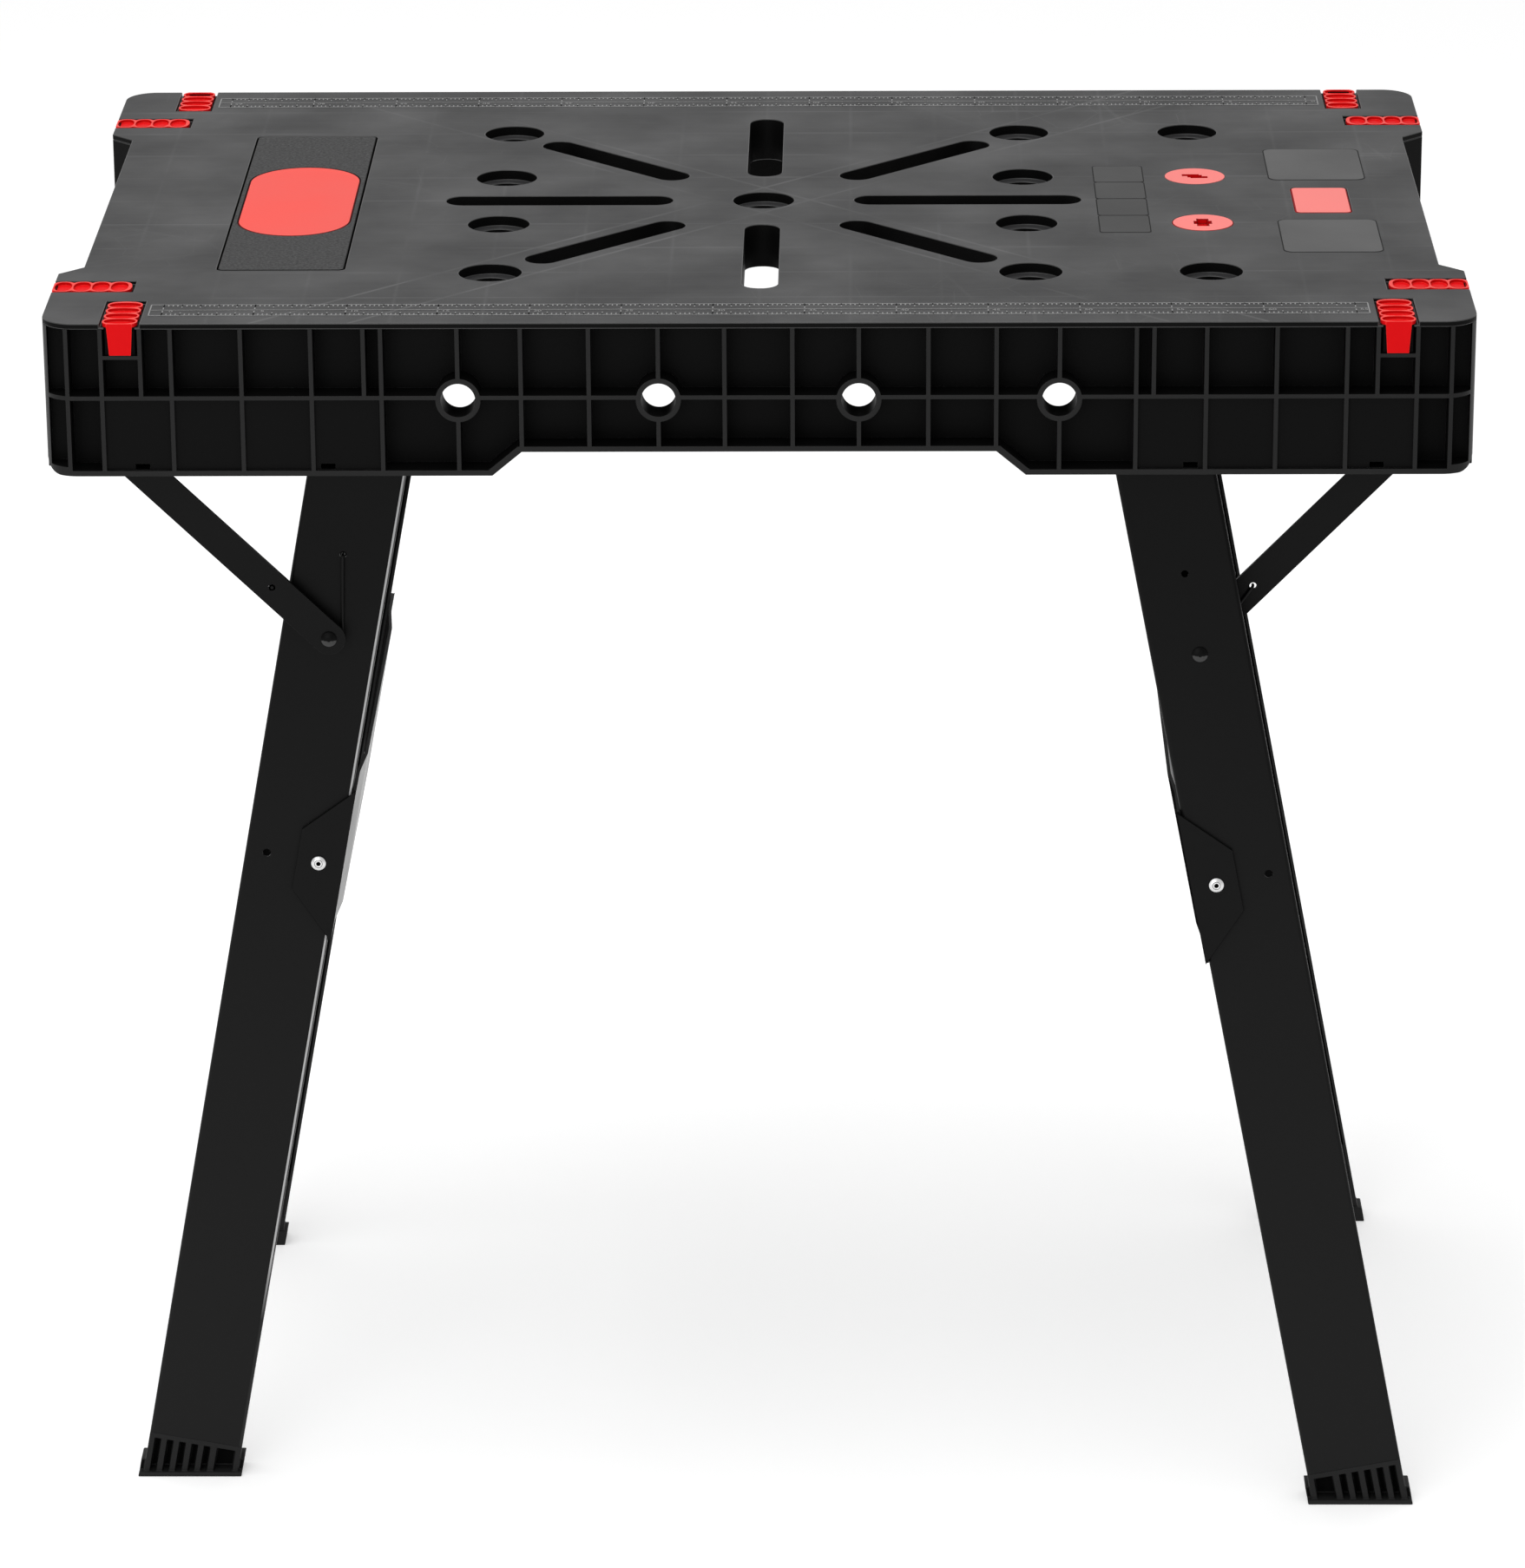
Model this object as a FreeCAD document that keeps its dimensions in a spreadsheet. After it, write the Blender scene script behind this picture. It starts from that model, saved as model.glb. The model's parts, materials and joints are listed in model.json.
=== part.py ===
# Folding workbench: a ribbed plastic top with dog holes and clamp slots, carried by two pairs
# of splayed steel legs that fold flat underneath it.
# Millimetres, +Z up, X along the bench, the front towards -Y.
# The origin is on the floor, below the middle of the top.

import FreeCAD
import Part
import Sketcher

import math
import os

# The driving sizes. Drops are measured down from the top face, insets inwards from its edges.
SIZES = {
    # Overall
    "bench_height": 726,
    "top_length": 780,
    "top_width": 500,
    "corner_radius": 18,
    # Deck
    "deck_thickness": 3.2,
    "moulded_wall": 3,
    "web_depth": 25,
    "grip_inset": 112.5,
    "grip_depth": 13,
    # Dog holes
    "hole_pitch": 100,
    "far_row_inset": 100,
    "inner_column": 150,
    "outer_column": 250,
    "dog_bore": 21.4,
    "dog_counterbore": 35,
    "counterbore_depth": 6,
    # Clamp slots: where they start from the middle, and what is left beyond their outer ends
    "slot_width": 20,
    "slot_start": 52,
    "diagonal_start": 66,
    "slot_margin": 67.5,
    "diagonal_margin": 29.6,
    # Storage lid and the well under it
    "lid_centre": 267,
    "lid_length": 70,
    "lid_inset": 106,
    "lid_thickness": 4,
    "lid_corner": 3,
    "lid_gap": 0.8,
    "lid_ledge": 4,
    "inlay_width": 64,
    "inlay_length": 148,
    "inlay_thickness": 2,
    # Red pieces set into the top
    "insert_width": 21.5,
    "insert_length": 45,
    "insert_thickness": 2.2,
    "insert_corner": 2,
    "insert_cell_width": 16,
    "insert_cell_length": 9.2,
    "insert_cell_pitch": 10.6,
    "insert_cell_depth": 1.2,
    "tongue_width": 16.2,
    "tongue_tip": 11.9,
    "tongue_drop": 18,
    "edge_insert_inset": 43.5,
    "end_insert_inset": 73.5,
    "pad_inset": 70,
    "pad_centre_y": -2.8,
    "pad_length": 32.5,
    "pad_width": 54.5,
    "pad_thickness": 1.8,
    "pad_corner": 3.5,
    "plug_stem_length": 14,
    "key_length": 17,
    "key_width": 4.5,
    "key_depth": 3,
    "fit_gap": 0.1,
    # Aprons along the front and the rear
    "apron_height": 86.5,
    "arch_height": 73,
    "arch_length": 258.6,
    "arch_slope": 16.2,
    "apron_depth": 19,
    "apron_corner": 9,
    "corner_block": 14,
    "rib_thickness": 2.3,
    "rib_pitch": 36.9,
    "middle_rib_drop": 42.2,
    "panel_start": 205,
    "double_rib_gap": 9.5,
    "tongue_frame": 21.4,
    "shelf_thickness": 2,
    "panel_recess": 2,
    "side_bore": 18.9,
    "side_boss": 24.5,
    "side_hole_drop": 43.7,
    "side_hole_pitch": 109,
    # Where the legs hang and how they fold
    "left_splay_angle": 10.47,
    "right_splay_angle": 11,
    "pivot_inset": 172.8,
    "pivot_drop": 65,
    "rivet_distance": 140.9,
    "anchor_inset": 23,
    "left_anchor_drop": 82,
    "right_anchor_drop": 77,
    "left_folded_drop": 59.25,
    "right_folded_drop": 57.75,
    # Legs
    "left_leg_inset": 75,
    "right_leg_inset": 38,
    "leg_width": 54.5,
    "leg_depth": 16,
    "leg_sheet": 1.5,
    "leg_bend": 2.5,
    "tongue_radius": 13.5,
    "shoulder_distance": 29,
    "seam_height": 23.3,
    # Braces, brackets and pins
    "left_brace_gap": 5.5,
    "right_brace_gap": 10.5,
    "brace_width": 18.4,
    "brace_sheet": 2.5,
    "bracket_gap": 0.5,
    "bracket_sheet": 2.5,
    "bracket_flange": 14,
    "bracket_margin": 12,
    "pin_diameter": 8,
    "pin_head": 13,
    "rivet_head": 8.8,
    "head_thickness": 1.8,
    "running_gap": 0.05,
    "slide_gap": 0.3,
    "spacer_diameter": 12,
    "screw_diameter": 4,
    "screw_head": 8,
    # Cross panels
    "panel_centre": 277,
    "panel_height": 93,
    "panel_sheet": 2,
    "panel_swell": 2.5,
    "tab_reach": 24.7,
    "tab_height": 37,
    "pop_rivet_offset": 15,
    "pop_rivet_head": 9,
    "pop_rivet_shank": 4.8,
    # Feet
    "foot_flange_height": 9.8,
    "foot_overhang": 2.6,
    "foot_lip": 2,
    "foot_lip_height": 2.8,
    "foot_margin": 3.4,
    "foot_slot": 3.7,
    "foot_slot_pitch": 7.3,
    "foot_window": 10.8,
    "foot_slot_depth": 9,
    "spigot_length": 25,
    # Springs
    "spring_wire": 1.4,
    "spring_radius": 7.2,
    "spring_rise": 2.9,
    "spring_leg_arm": 48,
    "spring_brace_arm": 43.4,
    "spring_bend": 2,
    "spring_hole": 4,
}

SIDES = {"left": -1, "right": 1}
FULL_TURN = 360
SLOT_COUNT = 4
INSERT_CELLS = 4
FOOT_SLOTS = 5
PANEL_RIBS = 4
GUIDE_STATIONS = 12
SPRING_TURNS = 2
SPRING_SAMPLES = 24
DIAGONAL_TURN = FULL_TURN / 8

# Places that follow the edges of the top
EDGE_INSERT_X = "(size.top_length / 2 - size.edge_insert_inset)"
END_INSERT_Y = "(size.top_width / 2 - size.end_insert_inset)"
FAR_ROW = "(size.top_width / 2 - size.far_row_inset)"
SLOT_FINISH = "(size.top_width / 2 - size.slot_margin)"
CORNER_HOLE = f"sqrt(size.inner_column * size.inner_column + {FAR_ROW} * {FAR_ROW})"
DIAGONAL_FINISH = f"({CORNER_HOLE} - size.diagonal_margin)"
LID_HALF = "(size.top_width / 2 - size.lid_inset)"
GRIP_HALF = "(size.top_width / 2 - size.grip_inset)"
PAD_X = "(size.top_length / 2 - size.pad_inset)"
PIVOT_X = "(size.top_length / 2 - size.pivot_inset)"
ANCHOR_X = "(size.top_length / 2 - size.anchor_inset)"

doc = FreeCAD.newDocument("folding_workbench")
sheet = doc.addObject("Spreadsheet::Sheet", "size")
for row, (alias, number) in enumerate(SIZES.items(), start=1):
    sheet.set(f"A{row}", alias)
    sheet.set(f"B{row}", str(number))
    sheet.setAlias(f"B{row}", alias)
doc.recompute()

nodes = []


# Small helpers for sizes, sketches and features

def value(text):
    """The number that a size expression stands for."""
    return float(sheet.evalExpression(text))


def below(drop):
    """A height given as a drop from the top face."""
    return f"size.bench_height - ({drop})"


def keep(piece, label):
    """Marks a finished sub-part and gives it its name."""
    piece.Label = label
    nodes.append(piece)
    return piece


def new_body(name):
    return doc.addObject("PartDesign::Body", name)


def origin_feature(body, role):
    return next(f for f in body.Origin.OriginFeatures if f.Role == role)


def new_sketch(body, plane, offset="0"):
    """A sketch on an origin plane, moved along the plane's normal: XY up, XZ to the front, YZ right."""
    sketch = body.newObject("Sketcher::SketchObject", f"{body.Name}_sketch")
    sketch.AttachmentSupport = [(origin_feature(body, f"{plane}_Plane"), "")]
    sketch.MapMode = "FlatFace"
    sketch.setExpression("AttachmentOffset.Base.z", offset)
    return sketch


def hold(sketch, kind, place, expression):
    """Adds one dimension and ties it to the size sheet."""
    index = sketch.addConstraint(Sketcher.Constraint(kind, *place, value(expression)))
    sketch.setExpression(f"Constraints[{index}]", expression)


def hold_point(sketch, geometry, end, x, y):
    hold(sketch, "DistanceX", (-1, 1, geometry, end), x)
    hold(sketch, "DistanceY", (-1, 1, geometry, end), y)


def vector(x, y):
    return FreeCAD.Vector(value(x), value(y), 0)


def unit_step(start, finish):
    """The axis direction from one corner to the next, for corners that carry a radius."""
    step = finish - start
    if abs(step.x) > abs(step.y):
        return (int(math.copysign(1, step.x)), 0)
    return (0, int(math.copysign(1, step.y)))


def outline(sketch, corners):
    """A closed outline of straight lines. A corner with a third value is rounded by that radius."""
    places = [vector(corner[0], corner[1]) for corner in corners]
    stations = []
    for index, corner in enumerate(corners):
        x, y = corner[0], corner[1]
        if len(corner) == 2:
            stations.append([(x, y)])
            continue
        radius = corner[2]
        back = unit_step(places[index], places[index - 1])
        ahead = unit_step(places[index], places[(index + 1) % len(corners)])
        stations.append([
            (f"{x} + ({back[0]} * ({radius}))", f"{y} + ({back[1]} * ({radius}))"),
            (f"{x} + ({ahead[0]} * ({radius}))", f"{y} + ({ahead[1]} * ({radius}))"),
            (f"{x} + ({back[0] + ahead[0]} * ({radius}))", f"{y} + ({back[1] + ahead[1]} * ({radius}))"),
            radius,
        ])
    pieces = []
    for index, station in enumerate(stations):
        if len(station) > 1:
            start, finish, centre = (vector(*point) for point in station[:3])
            outward = (start + finish) / 2 - centre
            crown = centre + outward.normalize() * value(station[3])
            arc = sketch.addGeometry(Part.Arc(start, crown, finish))
            hold(sketch, "Radius", (arc,), station[3])
            turns_left = (start - centre).cross(finish - centre).z > 0
            pieces.append((arc, 1, 2) if turns_left else (arc, 2, 1))
        leave = station[1] if len(station) > 1 else station[0]
        arrive = stations[(index + 1) % len(stations)][0]
        line = sketch.addGeometry(Part.LineSegment(vector(*leave), vector(*arrive)))
        hold_point(sketch, line, 1, *leave)
        if len(stations[(index + 1) % len(stations)]) > 1:
            hold_point(sketch, line, 2, *arrive)
        pieces.append((line, 1, 2))
    for (one, _, end), (other, start, _) in zip(pieces, pieces[1:] + pieces[:1]):
        sketch.addConstraint(Sketcher.Constraint("Coincident", one, end, other, start))
    return sketch


def rectangle(sketch, left, right, low, high, radius=None):
    corners = [(left, low), (right, low), (right, high), (left, high)]
    return outline(sketch, [corner + ((radius,) if radius else ()) for corner in corners])


def circle(sketch, x, y, diameter):
    ring = sketch.addGeometry(Part.Circle(vector(x, y), FreeCAD.Vector(0, 0, 1), value(diameter) / 2))
    hold_point(sketch, ring, 3, x, y)
    hold(sketch, "Diameter", (ring,), diameter)
    return sketch


def stadium(sketch, start, finish, middle, width):
    """A slot with round ends along the sketch's first axis, from tip to tip."""
    half = f"({width}) / 2"
    left = f"{start} + {half}"
    right = f"{finish} - {half}"
    low = f"{middle} - {half}"
    high = f"{middle} + {half}"
    bottom = sketch.addGeometry(Part.LineSegment(vector(left, low), vector(right, low)))
    top = sketch.addGeometry(Part.LineSegment(vector(right, high), vector(left, high)))
    right_end = sketch.addGeometry(Part.Arc(vector(right, low), vector(finish, middle), vector(right, high)))
    left_end = sketch.addGeometry(Part.Arc(vector(left, high), vector(start, middle), vector(left, low)))
    for line, ends in ((bottom, ((left, low), (right, low))), (top, ((right, high), (left, high)))):
        hold_point(sketch, line, 1, *ends[0])
        hold_point(sketch, line, 2, *ends[1])
    for joint in ((bottom, 2, right_end, 1), (right_end, 2, top, 1),
                  (top, 2, left_end, 1), (left_end, 2, bottom, 1)):
        sketch.addConstraint(Sketcher.Constraint("Coincident", *joint))
    for end, x in ((right_end, right), (left_end, left)):
        hold(sketch, "DistanceX", (-1, 1, end, 3), x)
    return sketch


def pad(body, sketch, length, reverse=False):
    feature = body.newObject("PartDesign::Pad", f"{body.Name}_pad")
    feature.Profile = sketch
    feature.setExpression("Length", length)
    feature.Reversed = reverse
    doc.recompute()
    return feature


def pocket(body, sketch, length, reverse=False):
    """A cut against the sketch's normal. It must take something away."""
    before = body.Shape.Volume
    feature = body.newObject("PartDesign::Pocket", f"{body.Name}_pocket")
    feature.Profile = sketch
    feature.setExpression("Length", length)
    feature.Reversed = reverse
    doc.recompute()
    if not body.Shape.Volume < before:
        raise RuntimeError(f"{body.Name}: {feature.Name} cuts nothing")
    return feature


def polar(body, feature, count):
    pattern = body.newObject("PartDesign::PolarPattern", f"{body.Name}_polar")
    pattern.Originals = [feature]
    pattern.Axis = (origin_feature(body, "Z_Axis"), [""])
    pattern.Angle = FULL_TURN
    pattern.Occurrences = count
    body.Tip = pattern
    doc.recompute()
    return pattern


def row_of(body, feature, axis, pitch, count):
    """A straight row of copies along an origin axis."""
    pattern = body.newObject("PartDesign::LinearPattern", f"{body.Name}_row")
    pattern.Originals = [feature]
    pattern.Direction = (origin_feature(body, f"{axis}_Axis"), [""])
    pattern.Mode = "Spacing"
    pattern.setExpression("Offset", pitch)
    pattern.Occurrences = count
    body.Tip = pattern
    doc.recompute()
    return pattern


def mirrored(body, features, plane):
    mirror = body.newObject("PartDesign::Mirrored", f"{body.Name}_mirror")
    mirror.Originals = features
    mirror.MirrorPlane = (origin_feature(body, f"{plane}_Plane"), [""])
    body.Tip = mirror
    doc.recompute()
    return mirror


def round_edges(body, radius, wanted):
    """Rounds the edges of the body's last feature that the given test picks."""
    base = body.Tip
    names = [f"Edge{number}" for number, edge in enumerate(base.Shape.Edges, start=1) if wanted(edge)]
    fillet = body.newObject("PartDesign::Fillet", f"{body.Name}_round")
    fillet.Base = (base, names)
    fillet.setExpression("Radius", radius)
    doc.recompute()
    return fillet


def place(piece, x="0", y="0", z="0", axis=(0, 0, 1), angle="0"):
    """Puts a piece where the size sheet says."""
    piece.Placement = FreeCAD.Placement(FreeCAD.Vector(), FreeCAD.Rotation(FreeCAD.Vector(*axis), 1))
    piece.setExpression("Placement.Base.x", x)
    piece.setExpression("Placement.Base.y", y)
    piece.setExpression("Placement.Base.z", z)
    piece.setExpression("Placement.Rotation.Angle", angle)
    return piece


def rear_copy(front, name):
    """The rear twin of a front piece, mirrored in the bench's middle plane."""
    twin = doc.addObject("Part::Mirroring", name)
    twin.Source = front
    twin.Normal = FreeCAD.Vector(0, 1, 0)
    return twin


def group(name, pieces):
    """Several equal solids kept as one sub-part."""
    compound = doc.addObject("Part::Compound", name)
    compound.Links = pieces
    return keep(compound, name)


def front_and_rear(front, name):
    keep(front, f"front_{name}")
    keep(rear_copy(front, f"rear_{name}"), f"rear_{name}")


# The top: deck, aprons and end walls

def hole_places():
    """The open dog holes: one in the middle and a grid of columns and rows on each side."""
    places = [("0", "0")]
    near = "size.hole_pitch / 2"
    far = FAR_ROW
    for front in (-1, 1):
        places.append(("size.outer_column", f"{front} * {far}"))
        for side in (-1, 1):
            places.extend((f"{side} * size.inner_column", f"{front} * {row}") for row in (near, far))
    return places


def plug_places():
    return [("size.outer_column", f"{front} * size.hole_pitch / 2") for front in (-1, 1)]


def insert_places():
    """Name, place and turn of each red insert. Each starts at the edge of the top and runs inwards."""
    half_length = "size.top_length / 2"
    half_width = "size.top_width / 2"
    places = []
    for side_name, side in SIDES.items():
        for end_name, front in (("front", -1), ("rear", 1)):
            edge_turn = 0 if front < 0 else 180
            places.append((f"{end_name}_{side_name}_edge_insert", f"{side} * {EDGE_INSERT_X}",
                           f"{front} * {half_width}", edge_turn))
            places.append((f"{end_name}_{side_name}_end_insert", f"{side} * {half_length}",
                           f"{front} * {END_INSERT_Y}", 90 * side))
    return places


def turned(x, y, across, inward, turn):
    """A point of an insert's own frame, across and inward, as an expression in the top's frame."""
    cosine = round(math.cos(math.radians(turn)))
    sine = round(math.sin(math.radians(turn)))
    return (f"{x} + ({cosine} * ({across})) - ({sine} * ({inward}))",
            f"{y} + ({sine} * ({across})) + ({cosine} * ({inward}))")


def make_deck():
    body = new_body("deck")
    half_length = "size.top_length / 2"
    half_width = "size.top_width / 2"
    underside = below("size.deck_thickness")
    wall_drop = "size.web_depth - size.deck_thickness"
    plate = new_sketch(body, "XY", underside)
    rectangle(plate, f"-{half_length}", half_length, f"-{half_width}", half_width, "size.corner_radius")
    pad(body, plate, "size.deck_thickness")

    # Hand grips: a shallow recess with slanted ends in each end of the top
    grips = new_sketch(body, "XY", below("0"))
    for side in SIDES.values():
        outline(grips, [
            (f"{side} * ({half_length} - size.grip_depth)", f"-{GRIP_HALF}"),
            (f"{side} * {half_length}", f"-{GRIP_HALF} - size.grip_depth"),
            (f"{side} * {half_length}", f"{GRIP_HALF} + size.grip_depth"),
            (f"{side} * ({half_length} - size.grip_depth)", GRIP_HALF),
        ])
    pocket(body, grips, "size.deck_thickness")

    # Walls under the deck round the slots, the dog holes and the storage well
    reaches = {0: ("size.slot_start", SLOT_FINISH), DIAGONAL_TURN: ("size.diagonal_start", DIAGONAL_FINISH)}
    for turn, (start, finish) in reaches.items():
        walls = new_sketch(body, "XY", underside)
        walls.AttachmentOffset = FreeCAD.Placement(
            FreeCAD.Vector(0, 0, value(underside)), FreeCAD.Rotation(FreeCAD.Vector(0, 0, 1), turn))
        walls.setExpression("AttachmentOffset.Base.z", underside)
        stadium(walls, f"{start} - size.moulded_wall", f"{finish} + size.moulded_wall", "0",
                "size.slot_width + 2 * size.moulded_wall")
        polar(body, pad(body, walls, wall_drop, reverse=True), SLOT_COUNT)
    seats = new_sketch(body, "XY", underside)
    tubes = new_sketch(body, "XY", underside)
    for x, y in hole_places() + plug_places():
        circle(seats, x, y, "size.dog_counterbore + 2 * size.moulded_wall")
        circle(tubes, x, y, "size.dog_bore + 2 * size.moulded_wall")
    pad(body, seats, "size.counterbore_depth + size.moulded_wall - size.deck_thickness", reverse=True)
    pad(body, tubes, wall_drop, reverse=True)
    inner_half_x = "(size.lid_length / 2 - size.lid_ledge)"
    inner_half_y = f"({LID_HALF} - size.lid_ledge)"
    wall_half_x = f"({inner_half_x} + size.lid_ledge + size.lid_gap + size.moulded_wall)"
    wall_half_y = f"({inner_half_y} + size.lid_ledge + size.lid_gap + size.moulded_wall)"
    well = new_sketch(body, "XY", underside)
    rectangle(well, f"-size.lid_centre - {wall_half_x}", f"-size.lid_centre + {wall_half_x}",
              f"-{wall_half_y}", wall_half_y)
    pad(body, well, wall_drop, reverse=True)

    # Slots, holes, the lid's seat and the storage well, cut from above
    for turn, (start, finish) in reaches.items():
        slots = new_sketch(body, "XY", below("0"))
        slots.AttachmentOffset = FreeCAD.Placement(
            FreeCAD.Vector(0, 0, value("size.bench_height")), FreeCAD.Rotation(FreeCAD.Vector(0, 0, 1), turn))
        slots.setExpression("AttachmentOffset.Base.z", below("0"))
        stadium(slots, start, finish, "0", "size.slot_width")
        polar(body, pocket(body, slots, "size.web_depth"), SLOT_COUNT)
    counterbores = new_sketch(body, "XY", below("0"))
    bores = new_sketch(body, "XY", below("0"))
    for x, y in hole_places() + plug_places():
        circle(counterbores, x, y, "size.dog_counterbore")
        circle(bores, x, y, "size.dog_bore")
    pocket(body, counterbores, "size.counterbore_depth")
    pocket(body, bores, "size.web_depth")
    seat = new_sketch(body, "XY", below("0"))
    seat_half_x = "(size.lid_length / 2 + size.lid_gap)"
    seat_half_y = f"({LID_HALF} + size.lid_gap)"
    rectangle(seat, f"-size.lid_centre - {seat_half_x}", f"-size.lid_centre + {seat_half_x}",
              f"-{seat_half_y}", seat_half_y, "size.lid_corner + size.lid_gap")
    pocket(body, seat, "size.lid_thickness")
    hollow = new_sketch(body, "XY", below("0"))
    rectangle(hollow, f"-size.lid_centre - {inner_half_x}", f"-size.lid_centre + {inner_half_x}",
              f"-{inner_half_y}", inner_half_y, "size.lid_corner")
    pocket(body, hollow, "size.web_depth - size.moulded_wall")

    # Shallow beds for the red inserts, with a notch at the edge for each tongue, and for the pad
    beds = new_sketch(body, "XY", below("0"))
    notches = new_sketch(body, "XY", below("0"))
    for name, x, y, turn in insert_places():
        for sketch, width, depth in ((beds, "size.insert_width", "size.insert_length"),
                                     (notches, "size.tongue_width", "size.insert_thickness")):
            half = f"({width} / 2 + size.fit_gap)"
            end = f"({depth} + size.fit_gap)"
            outline(sketch, [turned(x, y, across, inward, turn) for across, inward in
                             ((f"-{half}", "0"), (half, "0"), (half, end), (f"-{half}", end))])
    pocket(body, beds, "size.insert_thickness")
    pocket(body, notches, "size.deck_thickness")
    pad_bed = new_sketch(body, "XY", below("0"))
    pad_half_x = "(size.pad_length / 2 + size.fit_gap)"
    pad_half_y = "(size.pad_width / 2 + size.fit_gap)"
    rectangle(pad_bed, f"{PAD_X} - {pad_half_x}", f"{PAD_X} + {pad_half_x}",
              f"size.pad_centre_y - {pad_half_y}", f"size.pad_centre_y + {pad_half_y}",
              "size.pad_corner + size.fit_gap")
    pocket(body, pad_bed, "size.pad_thickness")
    keep(body, "deck")


def rib_lines():
    """The middle lines of the upright ribs on one half of an apron, from the middle outwards: those
    before the outer panels, and those from the first panel on."""
    lines = ["size.rib_pitch / 2", "size.side_hole_pitch / 2", "size.rib_pitch * 5 / 2",
             "size.rib_pitch * 7 / 2", "size.side_hole_pitch * 3 / 2"]
    pitch = f"({EDGE_INSERT_X} + size.tongue_frame / 2 - size.panel_start) / {PANEL_RIBS}"
    panels = [f"size.panel_start + {step} * {pitch}" for step in range(PANEL_RIBS + 1)]
    return lines, panels + ["size.top_length / 2 - size.corner_block"]


def make_aprons():
    body = new_body("front_apron")
    half_length = "size.top_length / 2"
    face = "size.top_width / 2"
    bottom = below("size.apron_height")
    plan = new_sketch(body, "XY", bottom)
    back = "-size.top_width / 2 + size.apron_depth"
    outline(plan, [
        (f"-{half_length}", f"-{face}", "size.corner_radius"),
        (half_length, f"-{face}", "size.corner_radius"),
        (half_length, back),
        (f"-{half_length}", back),
    ])
    pad(body, plan, "size.apron_height - size.deck_thickness")

    # The lower edge steps up in the middle, and its two outer corners are rounded
    arch = new_sketch(body, "XZ", face)
    arch_top = below("size.arch_height")
    arch_foot = "(size.arch_length / 2 + size.arch_slope)"
    outline(arch, [
        (f"-{arch_foot}", bottom), (arch_foot, bottom),
        ("size.arch_length / 2", arch_top), ("-size.arch_length / 2", arch_top),
    ])
    pocket(body, arch, "size.apron_depth")
    corners = new_sketch(body, "XZ", face)
    for side in SIDES.values():
        tip = (f"{side} * {half_length}", bottom)
        centre = (f"{side} * ({half_length} - size.apron_corner)", f"{bottom} + size.apron_corner")
        low = corners.addGeometry(Part.LineSegment(vector(centre[0], tip[1]), vector(*tip)))
        upright = corners.addGeometry(Part.LineSegment(vector(*tip), vector(tip[0], centre[1])))
        reach = value("size.apron_corner") / math.sqrt(2)
        crown = vector(*centre) + FreeCAD.Vector(side * reach, -reach, 0)
        arc = corners.addGeometry(Part.Arc(vector(tip[0], centre[1]), crown, vector(centre[0], tip[1])))
        low_end, upright_end = (1, 2) if side > 0 else (2, 1)
        corners.addConstraint(Sketcher.Constraint("Coincident", low, 2, upright, 1))
        corners.addConstraint(Sketcher.Constraint("Coincident", low, 1, arc, low_end))
        corners.addConstraint(Sketcher.Constraint("Coincident", upright, 2, arc, upright_end))
        hold_point(corners, low, 1, centre[0], tip[1])
        hold_point(corners, low, 2, *tip)
        hold_point(corners, upright, 2, tip[0], centre[1])
        hold(corners, "Radius", (arc,), "size.apron_corner")
    pocket(body, corners, "size.apron_depth")

    # Open cells between the ribs: a deep upper row, a deep lower row and shallow outer panels
    half_rib = "size.rib_thickness / 2"
    inner_lines, panel_lines = rib_lines()
    lines = inner_lines + panel_lines
    upper_low = f"{below('size.middle_rib_drop')} + {half_rib}"
    upper_high = below("size.deck_thickness")
    lower_high = f"{below('size.middle_rib_drop')} - {half_rib}"
    flange = f"{bottom} + size.moulded_wall"
    arch_flange = f"{arch_top} + size.moulded_wall"
    lower = new_sketch(body, "XZ", face)
    shallow = new_sketch(body, "XZ", face)
    panel_line = len(inner_lines)
    for index, (start, finish) in enumerate(zip(["0"] + lines, lines)):
        left = "0" if index == 0 else f"{start} + {half_rib}"
        right = f"{finish} - {half_rib}"
        if index < panel_line:
            rectangle(lower, left, right, arch_flange, lower_high)
        elif index == panel_line:
            slope_end = f"{left} + size.arch_slope"
            outline(lower, [(left, arch_flange), (slope_end, flange), (right, flange),
                            (right, lower_high), (left, lower_high)])
        elif panel_line + 1 < index < len(lines) - 1:
            rectangle(shallow, left, right, flange, lower_high)
        else:
            rectangle(lower, left, right, flange, lower_high)

    # The upper row has two more ribs, and a shelf below the tongue of each insert
    upper = new_sketch(body, "XZ", face)
    frame = f"{EDGE_INSERT_X} - size.tongue_frame / 2"
    upper_lines = inner_lines + [panel_lines[0], f"{panel_lines[0]} + size.double_rib_gap"]
    upper_lines += panel_lines[1:PANEL_RIBS] + [frame] + panel_lines[PANEL_RIBS:]
    shelf = below("size.tongue_drop + 2 * size.fit_gap")
    for index, (start, finish) in enumerate(zip(["0"] + upper_lines, upper_lines)):
        left = "0" if index == 0 else f"{start} + {half_rib}"
        right = f"{finish} - {half_rib}"
        if start == frame:
            rectangle(upper, left, right, shelf, upper_high)
            rectangle(upper, left, right, upper_low, f"{shelf} - size.shelf_thickness")
        else:
            rectangle(upper, left, right, upper_low, upper_high)
    deep = "size.apron_depth - size.moulded_wall"
    cells = [pocket(body, upper, deep), pocket(body, lower, deep), pocket(body, shallow, "size.panel_recess")]
    mirrored(body, cells, "YZ")

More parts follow.
